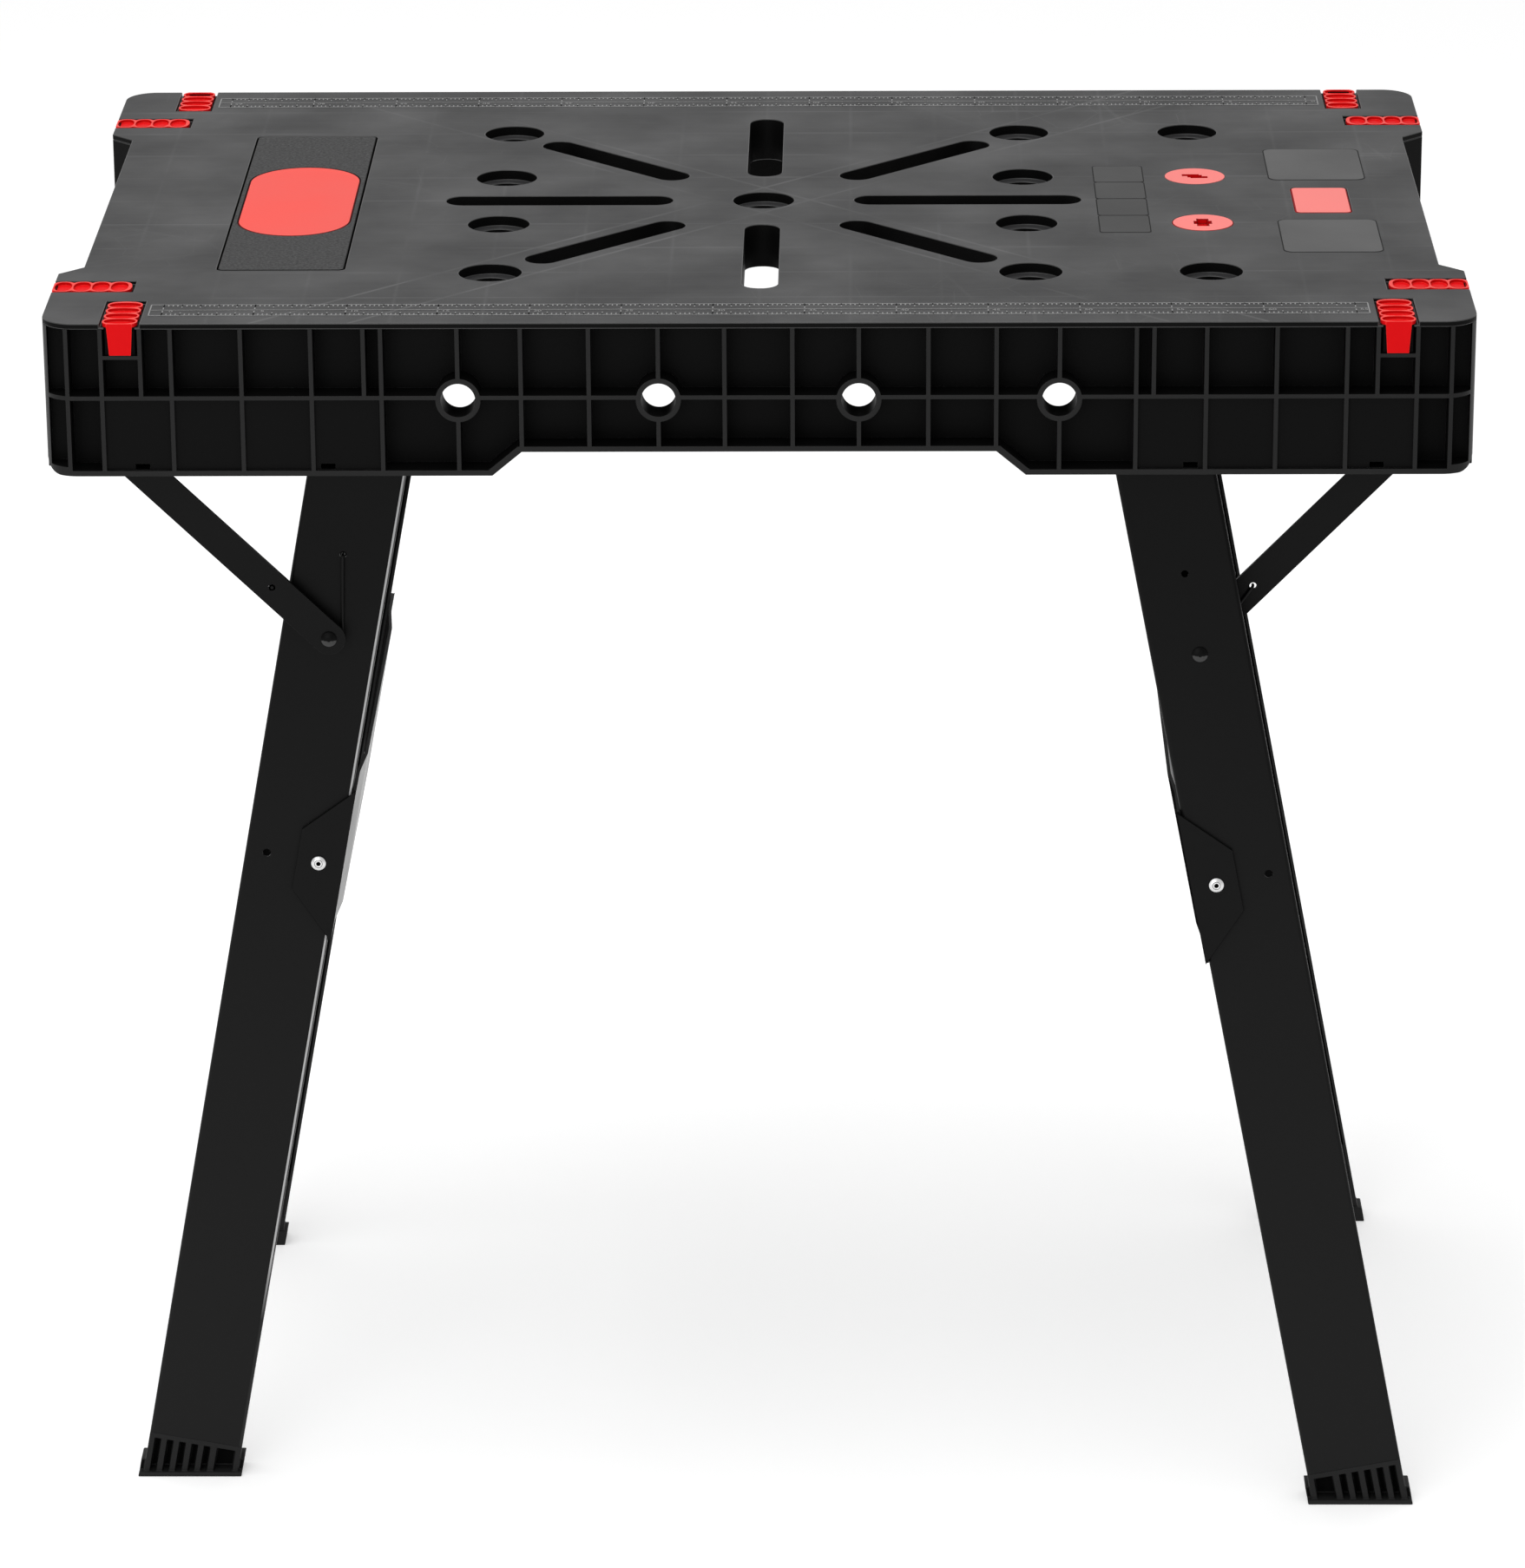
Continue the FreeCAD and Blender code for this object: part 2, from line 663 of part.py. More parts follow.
    # Bosses and cross holes
    bosses = new_sketch(body, "XZ", f"{face} - size.apron_depth")
    bores = new_sketch(body, "XZ", face)
    for step in (-3, -1, 1, 3):
        x = f"{step} * size.side_hole_pitch / 2"
        circle(bosses, x, below("size.side_hole_drop"), "size.side_boss")
        circle(bores, x, below("size.side_hole_drop"), "size.side_bore")
    pad(body, bosses, "size.apron_depth")
    pocket(body, bores, "size.apron_depth")
    front_and_rear(body, "apron")


def make_end_wall(side_name, side):
    """The wall under each end of the top, which follows the hand grip."""
    body = new_body(f"{side_name}_end_wall")
    outer = "size.top_length / 2"
    grip = "(size.top_length / 2 - size.grip_depth)"
    wall = "size.moulded_wall"
    end = "(size.top_width / 2 - size.apron_depth)"
    slope = f"({GRIP_HALF} + size.grip_depth)"
    flat = GRIP_HALF
    shift = f"({wall} * tan(22.5))"
    band = new_sketch(body, "XY", below("size.apron_height"))
    path = [(outer, f"-{end}"), (outer, f"-{slope}"), (grip, f"-{flat}"),
            (grip, flat), (outer, slope), (outer, end)]
    back = [(f"{outer} - {wall}", end), (f"{outer} - {wall}", f"{slope} + {shift}"),
            (f"{grip} - {wall}", f"{flat} + {shift}"), (f"{grip} - {wall}", f"-{flat} - {shift}"),
            (f"{outer} - {wall}", f"-{slope} - {shift}"), (f"{outer} - {wall}", f"-{end}")]
    outline(band, [(f"{side} * ({x})", y) for x, y in path + back])
    pad(body, band, "size.apron_height - size.deck_thickness")
    notches = new_sketch(body, "XY", below("size.deck_thickness"))
    for front in (-1, 1):
        half = "(size.tongue_width / 2 + size.fit_gap)"
        rectangle(notches, f"{side} * ({outer} - {wall})", f"{side} * {outer}",
                  f"{front} * {END_INSERT_Y} - {half}", f"{front} * {END_INSERT_Y} + {half}")
    pocket(body, notches, "size.tongue_drop + size.fit_gap - size.deck_thickness")
    keep(body, f"{side_name}_end_wall")


# Red pieces and the storage lid

def make_insert(name, x, y, turn):
    """A red wear insert: a bar let into the top, with a tongue that hangs down the edge."""
    body = new_body(name)
    half = "size.insert_width / 2"
    bar = new_sketch(body, "XY", "-size.insert_thickness")
    outline(bar, [(f"-{half}", "0"), (half, "0"), (half, "size.insert_length", "size.insert_corner"),
                  (f"-{half}", "size.insert_length", "size.insert_corner")])
    pad(body, bar, "size.insert_thickness")
    tongue = new_sketch(body, "XZ", "-size.insert_thickness")
    low = "-size.tongue_drop"
    outline(tongue, [("-size.tongue_tip / 2", low), ("size.tongue_tip / 2", low),
                     ("size.tongue_width / 2", "0"), ("-size.tongue_width / 2", "0")])
    pad(body, tongue, "size.insert_thickness")
    cell = new_sketch(body, "XY")
    middle = f"size.insert_length / 2 - size.insert_cell_pitch * {(INSERT_CELLS - 1) / 2}"
    half_cell = "size.insert_cell_width / 2"
    stadium(cell, f"-{half_cell}", half_cell, middle, "size.insert_cell_length")
    row_of(body, pocket(body, cell, "size.insert_cell_depth"), "Y", "size.insert_cell_pitch", INSERT_CELLS)
    place(body, x, y, below("0"), angle=str(turn))
    keep(body, name)


def make_pad():
    body = new_body("rubber_pad")
    half_x = "size.pad_length / 2"
    half_y = "size.pad_width / 2"
    plate = new_sketch(body, "XY", "-size.pad_thickness")
    rectangle(plate, f"-{half_x}", half_x, f"-{half_y}", half_y, "size.pad_corner")
    pad(body, plate, "size.pad_thickness")
    place(body, PAD_X, "size.pad_centre_y", below("0"))
    keep(body, "rubber_pad")


def make_plug(name, y, crossed):
    """A red plug in a dog hole, with a straight or a crossed key slot in its face."""
    body = new_body(name)
    stem = new_sketch(body, "XY", "-size.plug_stem_length")
    circle(stem, "0", "0", "size.dog_bore - 2 * size.fit_gap")
    pad(body, stem, "size.plug_stem_length")
    disc = new_sketch(body, "XY", "-size.counterbore_depth")
    circle(disc, "0", "0", "size.dog_counterbore - 2 * size.fit_gap")
    pad(body, disc, "size.counterbore_depth")
    key = new_sketch(body, "XY")
    near = "size.key_width / 2"
    far = "size.key_length / 2"
    if crossed:
        outline(key, [(f"-{far}", f"-{near}"), (f"-{near}", f"-{near}"), (f"-{near}", f"-{far}"),
                      (near, f"-{far}"), (near, f"-{near}"), (far, f"-{near}"), (far, near), (near, near),
                      (near, far), (f"-{near}", far), (f"-{near}", near), (f"-{far}", near)])
    else:
        stadium(key, f"-{far}", far, "0", "size.key_width")
    pocket(body, key, "size.key_depth")
    place(body, "size.outer_column", y, below("0"))
    keep(body, name)


def make_lid():
    """The lift-out lid over the storage well, and the red inlay let into it."""
    half_x = "size.lid_length / 2"
    half_y = LID_HALF
    lid = new_body("storage_lid")
    plate = new_sketch(lid, "XY", "-size.lid_thickness")
    rectangle(plate, f"-{half_x}", half_x, f"-{half_y}", half_y, "size.lid_corner")
    pad(lid, plate, "size.lid_thickness")
    rim = new_sketch(lid, "XY", "-size.lid_thickness")
    rim_x = "(size.lid_length / 2 - size.lid_ledge - size.lid_gap)"
    rim_y = f"({LID_HALF} - size.lid_ledge - size.lid_gap)"
    rectangle(rim, f"-{rim_x}", rim_x, f"-{rim_y}", rim_y, "size.lid_corner - size.lid_gap")
    rectangle(rim, f"-{rim_x} + size.moulded_wall", f"{rim_x} - size.moulded_wall",
              f"-{rim_y} + size.moulded_wall", f"{rim_y} - size.moulded_wall")
    pad(lid, rim, "size.moulded_wall", reverse=True)
    inlay = new_body("lid_inlay")
    for body, gap in ((lid, "size.fit_gap"), (inlay, "0")):
        oval = new_sketch(body, "YZ")
        oval.AttachmentSupport = [(origin_feature(body, "XY_Plane"), "")]
        oval.AttachmentOffset = FreeCAD.Placement(
            FreeCAD.Vector(), FreeCAD.Rotation(FreeCAD.Vector(0, 0, 1), 90))
        tip = f"(size.inlay_length / 2 + {gap})"
        stadium(oval, f"-{tip}", tip, "0", f"size.inlay_width + 2 * {gap}")
        if body is lid:
            pocket(body, oval, "size.inlay_thickness")
        else:
            pad(body, oval, "size.inlay_thickness", reverse=True)
        place(body, "-size.lid_centre", "0", below("0"))
    keep(lid, "storage_lid")
    keep(inlay, "lid_inlay")


# The folding frame. Each side is worked out from its own lane of Y distances.

def lane(side_name):
    """Y distances of one side: the leg's outer face, then brace and bracket, and which way they stack.
    The left brace lies outside its leg, the right one inside, so that the pairs nest when folded."""
    face = f"(size.top_width / 2 - size.{side_name}_leg_inset)"
    inner = f"({face} - size.leg_depth)"
    out = 1 if side_name == "left" else -1
    seat = face if out > 0 else inner
    brace_near = f"({seat} + {out} * size.{side_name}_brace_gap)"
    brace_far = f"({brace_near} + {out} * size.brace_sheet)"
    bracket_near = f"({brace_far} + {out} * size.bracket_gap)"
    bracket_far = f"({bracket_near} + {out} * size.bracket_sheet)"
    head_seat = f"({face} - size.leg_sheet)" if out > 0 else face
    web_seat = face if out > 0 else f"({face} - size.leg_sheet)"
    return {"face": face, "inner": inner, "out": out, "brace_near": brace_near, "brace_far": brace_far,
            "bracket_near": bracket_near, "bracket_far": bracket_far, "head_seat": head_seat,
            "web_seat": web_seat}


def rivet_place(side_name, side):
    """Where the brace is riveted to the leg, at rest."""
    splay = f"size.{side_name}_splay_angle"
    return (f"{side} * ({PIVOT_X} + size.rivet_distance * sin({splay}))",
            below(f"size.pivot_drop + size.rivet_distance * cos({splay})"))


def linkage(side_name, share):
    """The rivet and the leg's top pin after a share of the fold, outward distance and drop.
    Brace and leg turn in a fixed ratio, from standing to lying level under the top."""
    splay = math.radians(value(f"size.{side_name}_splay_angle"))
    reach = value("size.rivet_distance")
    anchor = (value(ANCHOR_X), value(f"size.{side_name}_anchor_drop"))
    rivet = (value(PIVOT_X) + reach * math.sin(splay), value("size.pivot_drop") + reach * math.cos(splay))
    length = math.dist(anchor, rivet)
    start = math.atan2(anchor[1] - rivet[1], anchor[0] - rivet[0])
    finish = math.asin((anchor[1] - value(f"size.{side_name}_folded_drop")) / length)
    brace = start + share * (finish - start)
    leg = (math.pi / 2 + splay) * (1 - share)
    moved = (anchor[0] - length * math.cos(brace), anchor[1] - length * math.sin(brace))
    pin = (moved[0] + reach * math.cos(leg), moved[1] - reach * math.sin(leg))
    return {"rivet": moved, "pin": pin, "brace": brace, "leg": leg, "length": length}


def on_leg(body, side_name, side):
    """Hangs a piece that is drawn with the leg upright from its top pin."""
    return place(body, f"{side} * {PIVOT_X}", "0", below("size.pivot_drop"), (0, 1, 0),
                 f"{-side} * size.{side_name}_splay_angle")


def leg_outline(sketch, half_width, tongue, foot):
    """The leg's face: parallel sides that taper to a round tongue about the top pin."""
    shoulder = "-size.shoulder_distance"
    low = f"-({foot})"
    edge = value(half_width)
    radius = value(tongue)
    foot_line = sketch.addGeometry(Part.LineSegment(vector(f"-{half_width}", low), vector(half_width, low)))
    right = sketch.addGeometry(Part.LineSegment(vector(half_width, low), vector(half_width, shoulder)))
    lean = math.radians(20)
    touch = FreeCAD.Vector(radius * math.cos(lean), radius * math.sin(lean), 0)
    away = FreeCAD.Vector(-touch.x, touch.y, 0)
    right_taper = sketch.addGeometry(Part.LineSegment(vector(half_width, shoulder), touch))
    tip = sketch.addGeometry(Part.Arc(touch, FreeCAD.Vector(0, radius, 0), away))
    left_taper = sketch.addGeometry(Part.LineSegment(away, FreeCAD.Vector(-edge, value(shoulder), 0)))
    left_side = [vector(f"-{half_width}", shoulder), vector(f"-{half_width}", low)]
    left = sketch.addGeometry(Part.LineSegment(*left_side))
    for joint in ((foot_line, 2, right, 1), (right, 2, right_taper, 1), (left_taper, 2, left, 1),
                  (left, 2, foot_line, 1), (tip, 3, -1, 1)):
        sketch.addConstraint(Sketcher.Constraint("Coincident", *joint))
    sketch.addConstraint(Sketcher.Constraint("Tangent", right_taper, 2, tip, 1))
    sketch.addConstraint(Sketcher.Constraint("Tangent", tip, 2, left_taper, 1))
    hold(sketch, "Radius", (tip,), tongue)
    hold_point(sketch, foot_line, 1, f"-{half_width}", low)
    hold_point(sketch, foot_line, 2, half_width, low)
    hold_point(sketch, right, 2, half_width, shoulder)
    hold_point(sketch, left, 1, f"-{half_width}", shoulder)
    return sketch


def leg_length(side_name):
    """From the top pin to the seam between the steel leg and its foot, along the leg."""
    return f"((size.bench_height - size.pivot_drop - size.seam_height) / cos(size.{side_name}_splay_angle))"


def make_legs(side_name, side):
    """A pressed channel, open towards the middle of the bench."""
    lanes = lane(side_name)
    body = new_body(f"front_{side_name}_leg")
    half = "size.leg_width / 2"
    seam = leg_length(side_name)
    pad(body, leg_outline(new_sketch(body, "XZ", lanes["inner"]), half, "size.tongue_radius", seam),
        "size.leg_depth")
    face = -value(lanes["face"])
    end = -value(seam)
    round_edges(body, "size.leg_bend", lambda edge: edge.BoundBox.YMax - face < 0.01
                and edge.BoundBox.ZMax > end + 1)
    sheet_half = f"({half} - size.leg_sheet)"
    hollow = leg_outline(new_sketch(body, "XZ", lanes["inner"]), sheet_half,
                         "size.tongue_radius - size.leg_sheet", f"{seam} + size.leg_depth")
    pocket(body, hollow, "size.leg_depth - size.leg_sheet", reverse=True)
    holes = new_sketch(body, "XZ", lanes["face"])
    circle(holes, "0", "0", "size.pin_diameter")
    circle(holes, "0", "-size.rivet_distance", "size.pin_diameter")
    circle(holes, "0", "-size.rivet_distance + size.spring_leg_arm", "size.spring_hole")
    for way in (-1, 1):
        circle(holes, f"{way} * size.pop_rivet_offset", "-size.panel_centre", "size.pop_rivet_shank")
    pocket(body, holes, "size.leg_sheet")
    on_leg(body, side_name, side)
    front_and_rear(body, f"{side_name}_leg")


def make_feet(side_name, side):
    """A moulded shoe: a slotted block below the channel, a flange round its sole and a spigot inside."""
    lanes = lane(side_name)
    body = new_body(f"front_{side_name}_foot")
    inward = -side
    seam = leg_length(side_name)
    sole = f"((size.bench_height - size.pivot_drop) / cos(size.{side_name}_splay_angle))"
    tilt = f"tan(size.{side_name}_splay_angle)"

    def on_sole(x, rise="0"):
        return (x, f"-({sole} - {inward} * ({x}) * {tilt}) + ({rise})")

    half = "size.leg_width / 2"
    wide = f"({half} + size.foot_overhang)"
    block = new_sketch(body, "XZ", lanes["inner"])
    outline(block, [(f"-{half}", f"-{seam}"), on_sole(f"-{half}"), on_sole(half), (half, f"-{seam}")])
    pad(body, block, "size.leg_depth")
    flange = new_sketch(body, "XZ", f"{lanes['inner']} - size.foot_lip")
    outline(flange, [on_sole(f"-{wide}", "size.foot_flange_height"), on_sole(f"-{wide}"), on_sole(wide),
                     on_sole(wide, "size.foot_flange_height")])
    pad(body, flange, "size.leg_depth + size.foot_lip - size.leg_bend")
    lip = new_sketch(body, "XZ", lanes["inner"])
    outline(lip, [on_sole(f"-{wide}", "size.foot_lip_height"), on_sole(f"-{wide}"), on_sole(wide),
                  on_sole(wide, "size.foot_lip_height")])
    pad(body, lip, "size.leg_depth + size.foot_lip")
    spigot = new_sketch(body, "XZ", lanes["inner"])
    inside = "(size.leg_width / 2 - size.leg_sheet - size.fit_gap)"
    rectangle(spigot, f"-{inside}", inside, f"-{seam}", f"-{seam} + size.spigot_length")
    pad(body, spigot, "size.leg_depth - size.leg_sheet - size.fit_gap")
    slots = new_sketch(body, "XZ", lanes["face"])
    top = f"-{seam} - size.foot_margin"
    base_rise = "size.foot_lip_height"
    for number in range(FOOT_SLOTS):
        outer = f"(size.leg_width / 2 - size.foot_margin - {number} * size.foot_slot_pitch)"
        left = f"{-inward} * {outer}"
        right = f"{-inward} * ({outer} - size.foot_slot)"
        outline(slots, [(left, top), on_sole(left, base_rise), on_sole(right, base_rise), (right, top)])
    left = f"{inward} * (size.leg_width / 2 - size.foot_margin)"
    right = f"{inward} * (size.leg_width / 2 - size.foot_margin - size.foot_window)"
    outline(slots, [(left, top), on_sole(left, base_rise), on_sole(right, base_rise), (right, top)])
    pocket(body, slots, "size.foot_slot_depth")
    on_leg(body, side_name, side)
    front_and_rear(body, f"{side_name}_foot")


def make_cross_panel(side_name, side):
    """A pressed sheet across the pair, on the edges that face the middle, with tabs round the legs."""
    lanes = lane(side_name)
    body = new_body(f"{side_name}_cross_panel")
    inward = -side
    edge = "size.leg_width / 2"
    top = "-size.panel_centre + size.panel_height / 2"
    swell_end = f"({lanes['inner']} - size.leg_depth)"
    flat = "size.panel_sheet"
    raised = "(size.panel_sheet + size.panel_swell)"
    slope = "(2 * size.leg_depth)"
    profile = new_sketch(body, "XY", top)
    near = [("0", lanes["face"]), ("0", swell_end), ("size.panel_swell", f"({swell_end} - {slope})")]
    far = [(raised, f"({swell_end} - {slope})"), (flat, swell_end), (flat, lanes["face"])]
    points = [(x, f"-{y}") for x, y in near] + [(x, y) for x, y in reversed(near)]
    points += [(x, y) for x, y in reversed(far)] + [(x, f"-{y}") for x, y in far]
    outline(profile, [(f"{inward} * ({edge} + {x})", y) for x, y in points])
    pad(body, profile, "size.panel_height", reverse=True)
    tab = new_sketch(body, "XZ", lanes["face"])
    near_edge = f"{inward} * ({edge} + size.panel_sheet)"
    far_edge = f"{inward} * ({edge} - size.tab_reach)"
    outline(tab, [(near_edge, top), (near_edge, f"{top} - size.panel_height"),
                  (far_edge, "-size.panel_centre - size.tab_height / 2"),
                  (far_edge, "-size.panel_centre + size.tab_height / 2")])
    tabs = pad(body, tab, "size.panel_sheet")
    hole = new_sketch(body, "XZ", f"{lanes['face']} + size.panel_sheet")
    circle(hole, f"{inward} * size.pop_rivet_offset", "-size.panel_centre", "size.pop_rivet_shank")
    holes = pocket(body, hole, "size.panel_sheet")
    mirrored(body, [tabs, holes], "XZ")
    on_leg(body, side_name, side)
    keep(body, f"{side_name}_cross_panel")


def make_pin(name, stages):
    """A turned pin along Y, from stages of diameter, start and length towards the front."""
    body = new_body(name)
    for diameter, start, length in stages:
        ring = new_sketch(body, "XZ", start)
        circle(ring, "0", "0", diameter)
        pad(body, ring, length)
    return body


def stage(diameter, one, other, out):
    """One stage between two Y distances, whichever way the lane stacks."""
    start, finish = (one, other) if out > 0 else (other, one)
    return (diameter, start, f"({finish}) - ({start})")


def make_pins(side_name, side):
    """Pivot pins, brace rivets, top pins, spacers and pop rivets, each front and rear pair one sub-part."""
    lanes = lane(side_name)
    out = lanes["out"]
    shank = "size.pin_diameter - 2 * size.running_gap"
    head = "size.head_thickness"

    def beyond(distance, gap="size.slide_gap"):
        return f"({distance} + {out} * {gap})"

    rivet_x, rivet_z = rivet_place(side_name, side)
    brace_end = beyond(lanes["brace_far"])
    rivet = make_pin(f"{side_name}_brace_rivet", [
        stage("size.rivet_head", f"{lanes['head_seat']} - {out} * {head}", lanes["head_seat"], out),
        stage(shank, lanes["head_seat"], brace_end, out),
        stage("size.rivet_head", brace_end, f"{brace_end} + {out} * {head}", out),
    ])
    place(rivet, rivet_x, "0", rivet_z)
    spacer = make_pin(f"{side_name}_spacer", [
        stage("size.spacer_diameter", lanes["web_seat"], f"{lanes['brace_near']} - {out} * size.fit_gap", out)])
    bore = new_sketch(spacer, "XZ", f"{lanes['face']} + size.leg_depth")
    circle(bore, "0", "0", "size.pin_diameter")
    pocket(spacer, bore, "3 * size.leg_depth")
    place(spacer, rivet_x, "0", rivet_z)
    guide_end = beyond(lanes["bracket_far"])
    guide = make_pin(f"{side_name}_guide_pin", [
        stage("size.pin_head", f"{lanes['head_seat']} - {out} * {head}", lanes["head_seat"], out),
        stage(shank, lanes["head_seat"], guide_end, out),
        stage("size.pin_head", guide_end, f"{guide_end} + {out} * {head}", out),
    ])
    place(guide, f"{side} * {PIVOT_X}", "0", below("size.pivot_drop"))
    pivot_end = f"({lanes['brace_near']} - {out} * size.slide_gap)"
    pivot = make_pin(f"{side_name}_brace_pivot", [
        stage("size.pin_head", f"{pivot_end} - {out} * {head}", pivot_end, out),
        stage(shank, pivot_end, lanes["bracket_far"], out),
        stage("size.pin_head", lanes["bracket_far"], f"{lanes['bracket_far']} + {out} * {head}", out),
    ])
    place(pivot, f"{side} * {ANCHOR_X}", "0", below(f"size.{side_name}_anchor_drop"))
    tab_face = f"({lanes['face']} + size.panel_sheet)"
    pop_shank = "size.pop_rivet_shank - 2 * size.running_gap"
    pop = new_body(f"{side_name}_pop_rivet")
    inner_face = f"({lanes['face']} - size.leg_sheet)"
    for diameter, start, finish in ((pop_shank, f"({inner_face} - {head})", tab_face),
                                    ("size.pop_rivet_head", tab_face, f"({tab_face} + {head})")):
        ring = new_sketch(pop, "XZ", start)
        circle(ring, f"{-side} * size.pop_rivet_offset", "-size.panel_centre", diameter)
        pad(pop, ring, f"{finish} - {start}")
    on_leg(pop, side_name, side)
    for front, name in ((rivet, "brace_rivets"), (spacer, "spacers"), (guide, "guide_pins"),
                        (pivot, "brace_pivots"), (pop, "panel_rivets")):
        group(f"{side_name}_{name}", [front, rear_copy(front, f"rear_{front.Name}")])


def make_braces(side_name, side):
    """A flat bar with round ends, from the anchor pin down to the leg."""
    lanes = lane(side_name)
    body = new_body(f"front_{side_name}_brace")
    rivet_x, rivet_z = rivet_place(side_name, side)
    anchor_z = below(f"size.{side_name}_anchor_drop")
    rise = f"({rivet_z} - ({anchor_z}))"
    run = f"({rivet_x} - {side} * {ANCHOR_X})"
    length = f"sqrt({run} * {run} + {rise} * {rise})"
    near = lanes["brace_near"] if lanes["out"] > 0 else lanes["brace_far"]
    bar = new_sketch(body, "XZ", near)
    half = "size.brace_width / 2"
    stadium(bar, f"-{half}", f"{length} + {half}", "0", "size.brace_width")
    pad(body, bar, "size.brace_sheet")
    holes = new_sketch(body, "XZ", f"{near} + size.brace_sheet")
    circle(holes, "0", "0", "size.pin_diameter")
    circle(holes, length, "0", "size.pin_diameter")
    circle(holes, f"{length} - size.spring_brace_arm", "0", "size.spring_hole")
    pocket(body, holes, "size.brace_sheet")
    direction = f"atan2({rise}; {run})"
    place(body, f"{side} * {ANCHOR_X}", "0", anchor_z, (0, -1, 0), direction)
    front_and_rear(body, f"{side_name}_brace")


def guide_cutter(side_name, side):
    """The arched guide slot that the leg's top pin follows, as a solid to cut from a bracket."""
    lanes = lane(side_name)
    half = value("size.pin_diameter") / 2 + value("size.slide_gap")
    path = [linkage(side_name, step / GUIDE_STATIONS)["pin"] for step in range(GUIDE_STATIONS + 1)]
    line = [FreeCAD.Vector(side * x, 0, value(below(str(drop)))) for x, drop in path]
    curve = Part.BSplineCurve()
    curve.interpolate(line)
    rails = []
    for way in (-1, 1):
        points = []
        for point in line:
            along = curve.tangent(curve.parameter(point))[0]
            points.append(point + FreeCAD.Vector(-along.z, 0, along.x) * way * half)
        rail = Part.BSplineCurve()
        rail.interpolate(points)
        rails.append((rail, points))
    tips = []
    for index, way in ((0, -1), (-1, 1)):
        along = curve.tangent(curve.parameter(line[index]))[0]
        tips.append(Part.Arc(rails[0][1][index], line[index] + along * way * half, rails[1][1][index]))
    wire = Part.Wire(Part.sortEdges([rails[0][0].toShape(), tips[1].toShape(), rails[1][0].toShape(),
                                     tips[0].toShape()])[0])
    thickness = value("size.bracket_sheet")
    near = min(value(lanes["bracket_near"]), value(lanes["bracket_far"]))
    solid = Part.Face(wire).extrude(FreeCAD.Vector(0, -3 * thickness, 0))
    solid.translate(FreeCAD.Vector(0, thickness - near, 0))
    cutter = doc.addObject("Part::Feature", f"{side_name}_guide_cutter")
    cutter.Shape = solid
    return cutter


def make_brackets(side_name, side):
    """A folded plate that hangs from the deck. It holds the brace's pivot and guides the leg's top pin."""
    lanes = lane(side_name)
    out = lanes["out"]
    plate = new_body(f"{side_name}_bracket_plate")
    near = lanes["bracket_near"] if out > 0 else lanes["bracket_far"]
    hang = below("size.deck_thickness")
    inner_x = f"{PIVOT_X} - size.bracket_margin"
    outer_x = f"{ANCHOR_X} + size.bracket_margin"
    level = below("size.pivot_drop + size.bracket_margin")
    anchor_z = below(f"size.{side_name}_anchor_drop")
    low = f"{anchor_z} - size.bracket_margin"
    face = new_sketch(plate, "XZ", near)
    outline(face, [(f"{side} * ({x})", z) for x, z in (
        (inner_x, hang), (outer_x, hang), (outer_x, low), (f"{ANCHOR_X} - size.bracket_margin", low),
        (f"{ANCHOR_X} - 3 * size.bracket_margin", level), (inner_x, level))])
    pad(plate, face, "size.bracket_sheet")
    pivot = new_sketch(plate, "XZ", f"{near} + size.bracket_sheet")
    circle(pivot, f"{side} * {ANCHOR_X}", anchor_z, "size.pin_diameter")
    pocket(plate, pivot, "size.bracket_sheet")
    flange = new_sketch(plate, "XY", f"{hang} - size.bracket_sheet")
    flange_far = f"({near} + size.bracket_flange)"
    rectangle(flange, f"{side} * ({inner_x})", f"{side} * ({outer_x})", f"-{near}", f"-{flange_far}")
    pad(plate, flange, "size.bracket_sheet")
    screw_y = f"({near} + (size.bracket_flange + size.bracket_sheet) / 2)"
    screw_xs = [f"{side} * ({inner_x} + size.bracket_margin)",
                f"{side} * ({inner_x} + {outer_x}) / 2",
                f"{side} * ({outer_x} - size.bracket_margin)"]
    holes = new_sketch(plate, "XY", hang)
    for x in screw_xs:
        circle(holes, x, f"-{screw_y}", "size.screw_diameter")
    pocket(plate, holes, "size.bracket_sheet")
    bracket = doc.addObject("Part::Cut", f"front_{side_name}_bracket")
    bracket.Base = plate
    bracket.Tool = guide_cutter(side_name, side)
    doc.recompute()
    front_and_rear(bracket, f"{side_name}_bracket")
    screws = []
    for number, x in enumerate(screw_xs):
        screw = new_body(f"{side_name}_screw_{number}")
        shank = new_sketch(screw, "XY", f"{hang} - size.bracket_sheet")
        circle(shank, x, f"-{screw_y}", "size.screw_diameter - 2 * size.running_gap")
        pad(screw, shank, "size.bracket_sheet")
        head = new_sketch(screw, "XY", f"{hang} - size.bracket_sheet")
        circle(head, x, f"-{screw_y}", "size.screw_head")
        pad(screw, head, "size.head_thickness", reverse=True)
        screws += [screw, rear_copy(screw, f"rear_{screw.Name}")]
    group(f"{side_name}_bracket_screws", screws)


# Torsion springs

def arc_from(start, along, finish):
    """The arc from one point to another that leaves in a given direction."""
    chord = finish - start
    straight = FreeCAD.Vector(chord).normalize()
    aside = along - straight * along.dot(straight)
    half_turn = math.acos(max(-1, min(1, along.dot(straight))))
    rise = chord.Length / 2 * math.tan(half_turn / 2)
    return Part.Arc(start, start + chord / 2 + aside.normalize() * rise, finish)


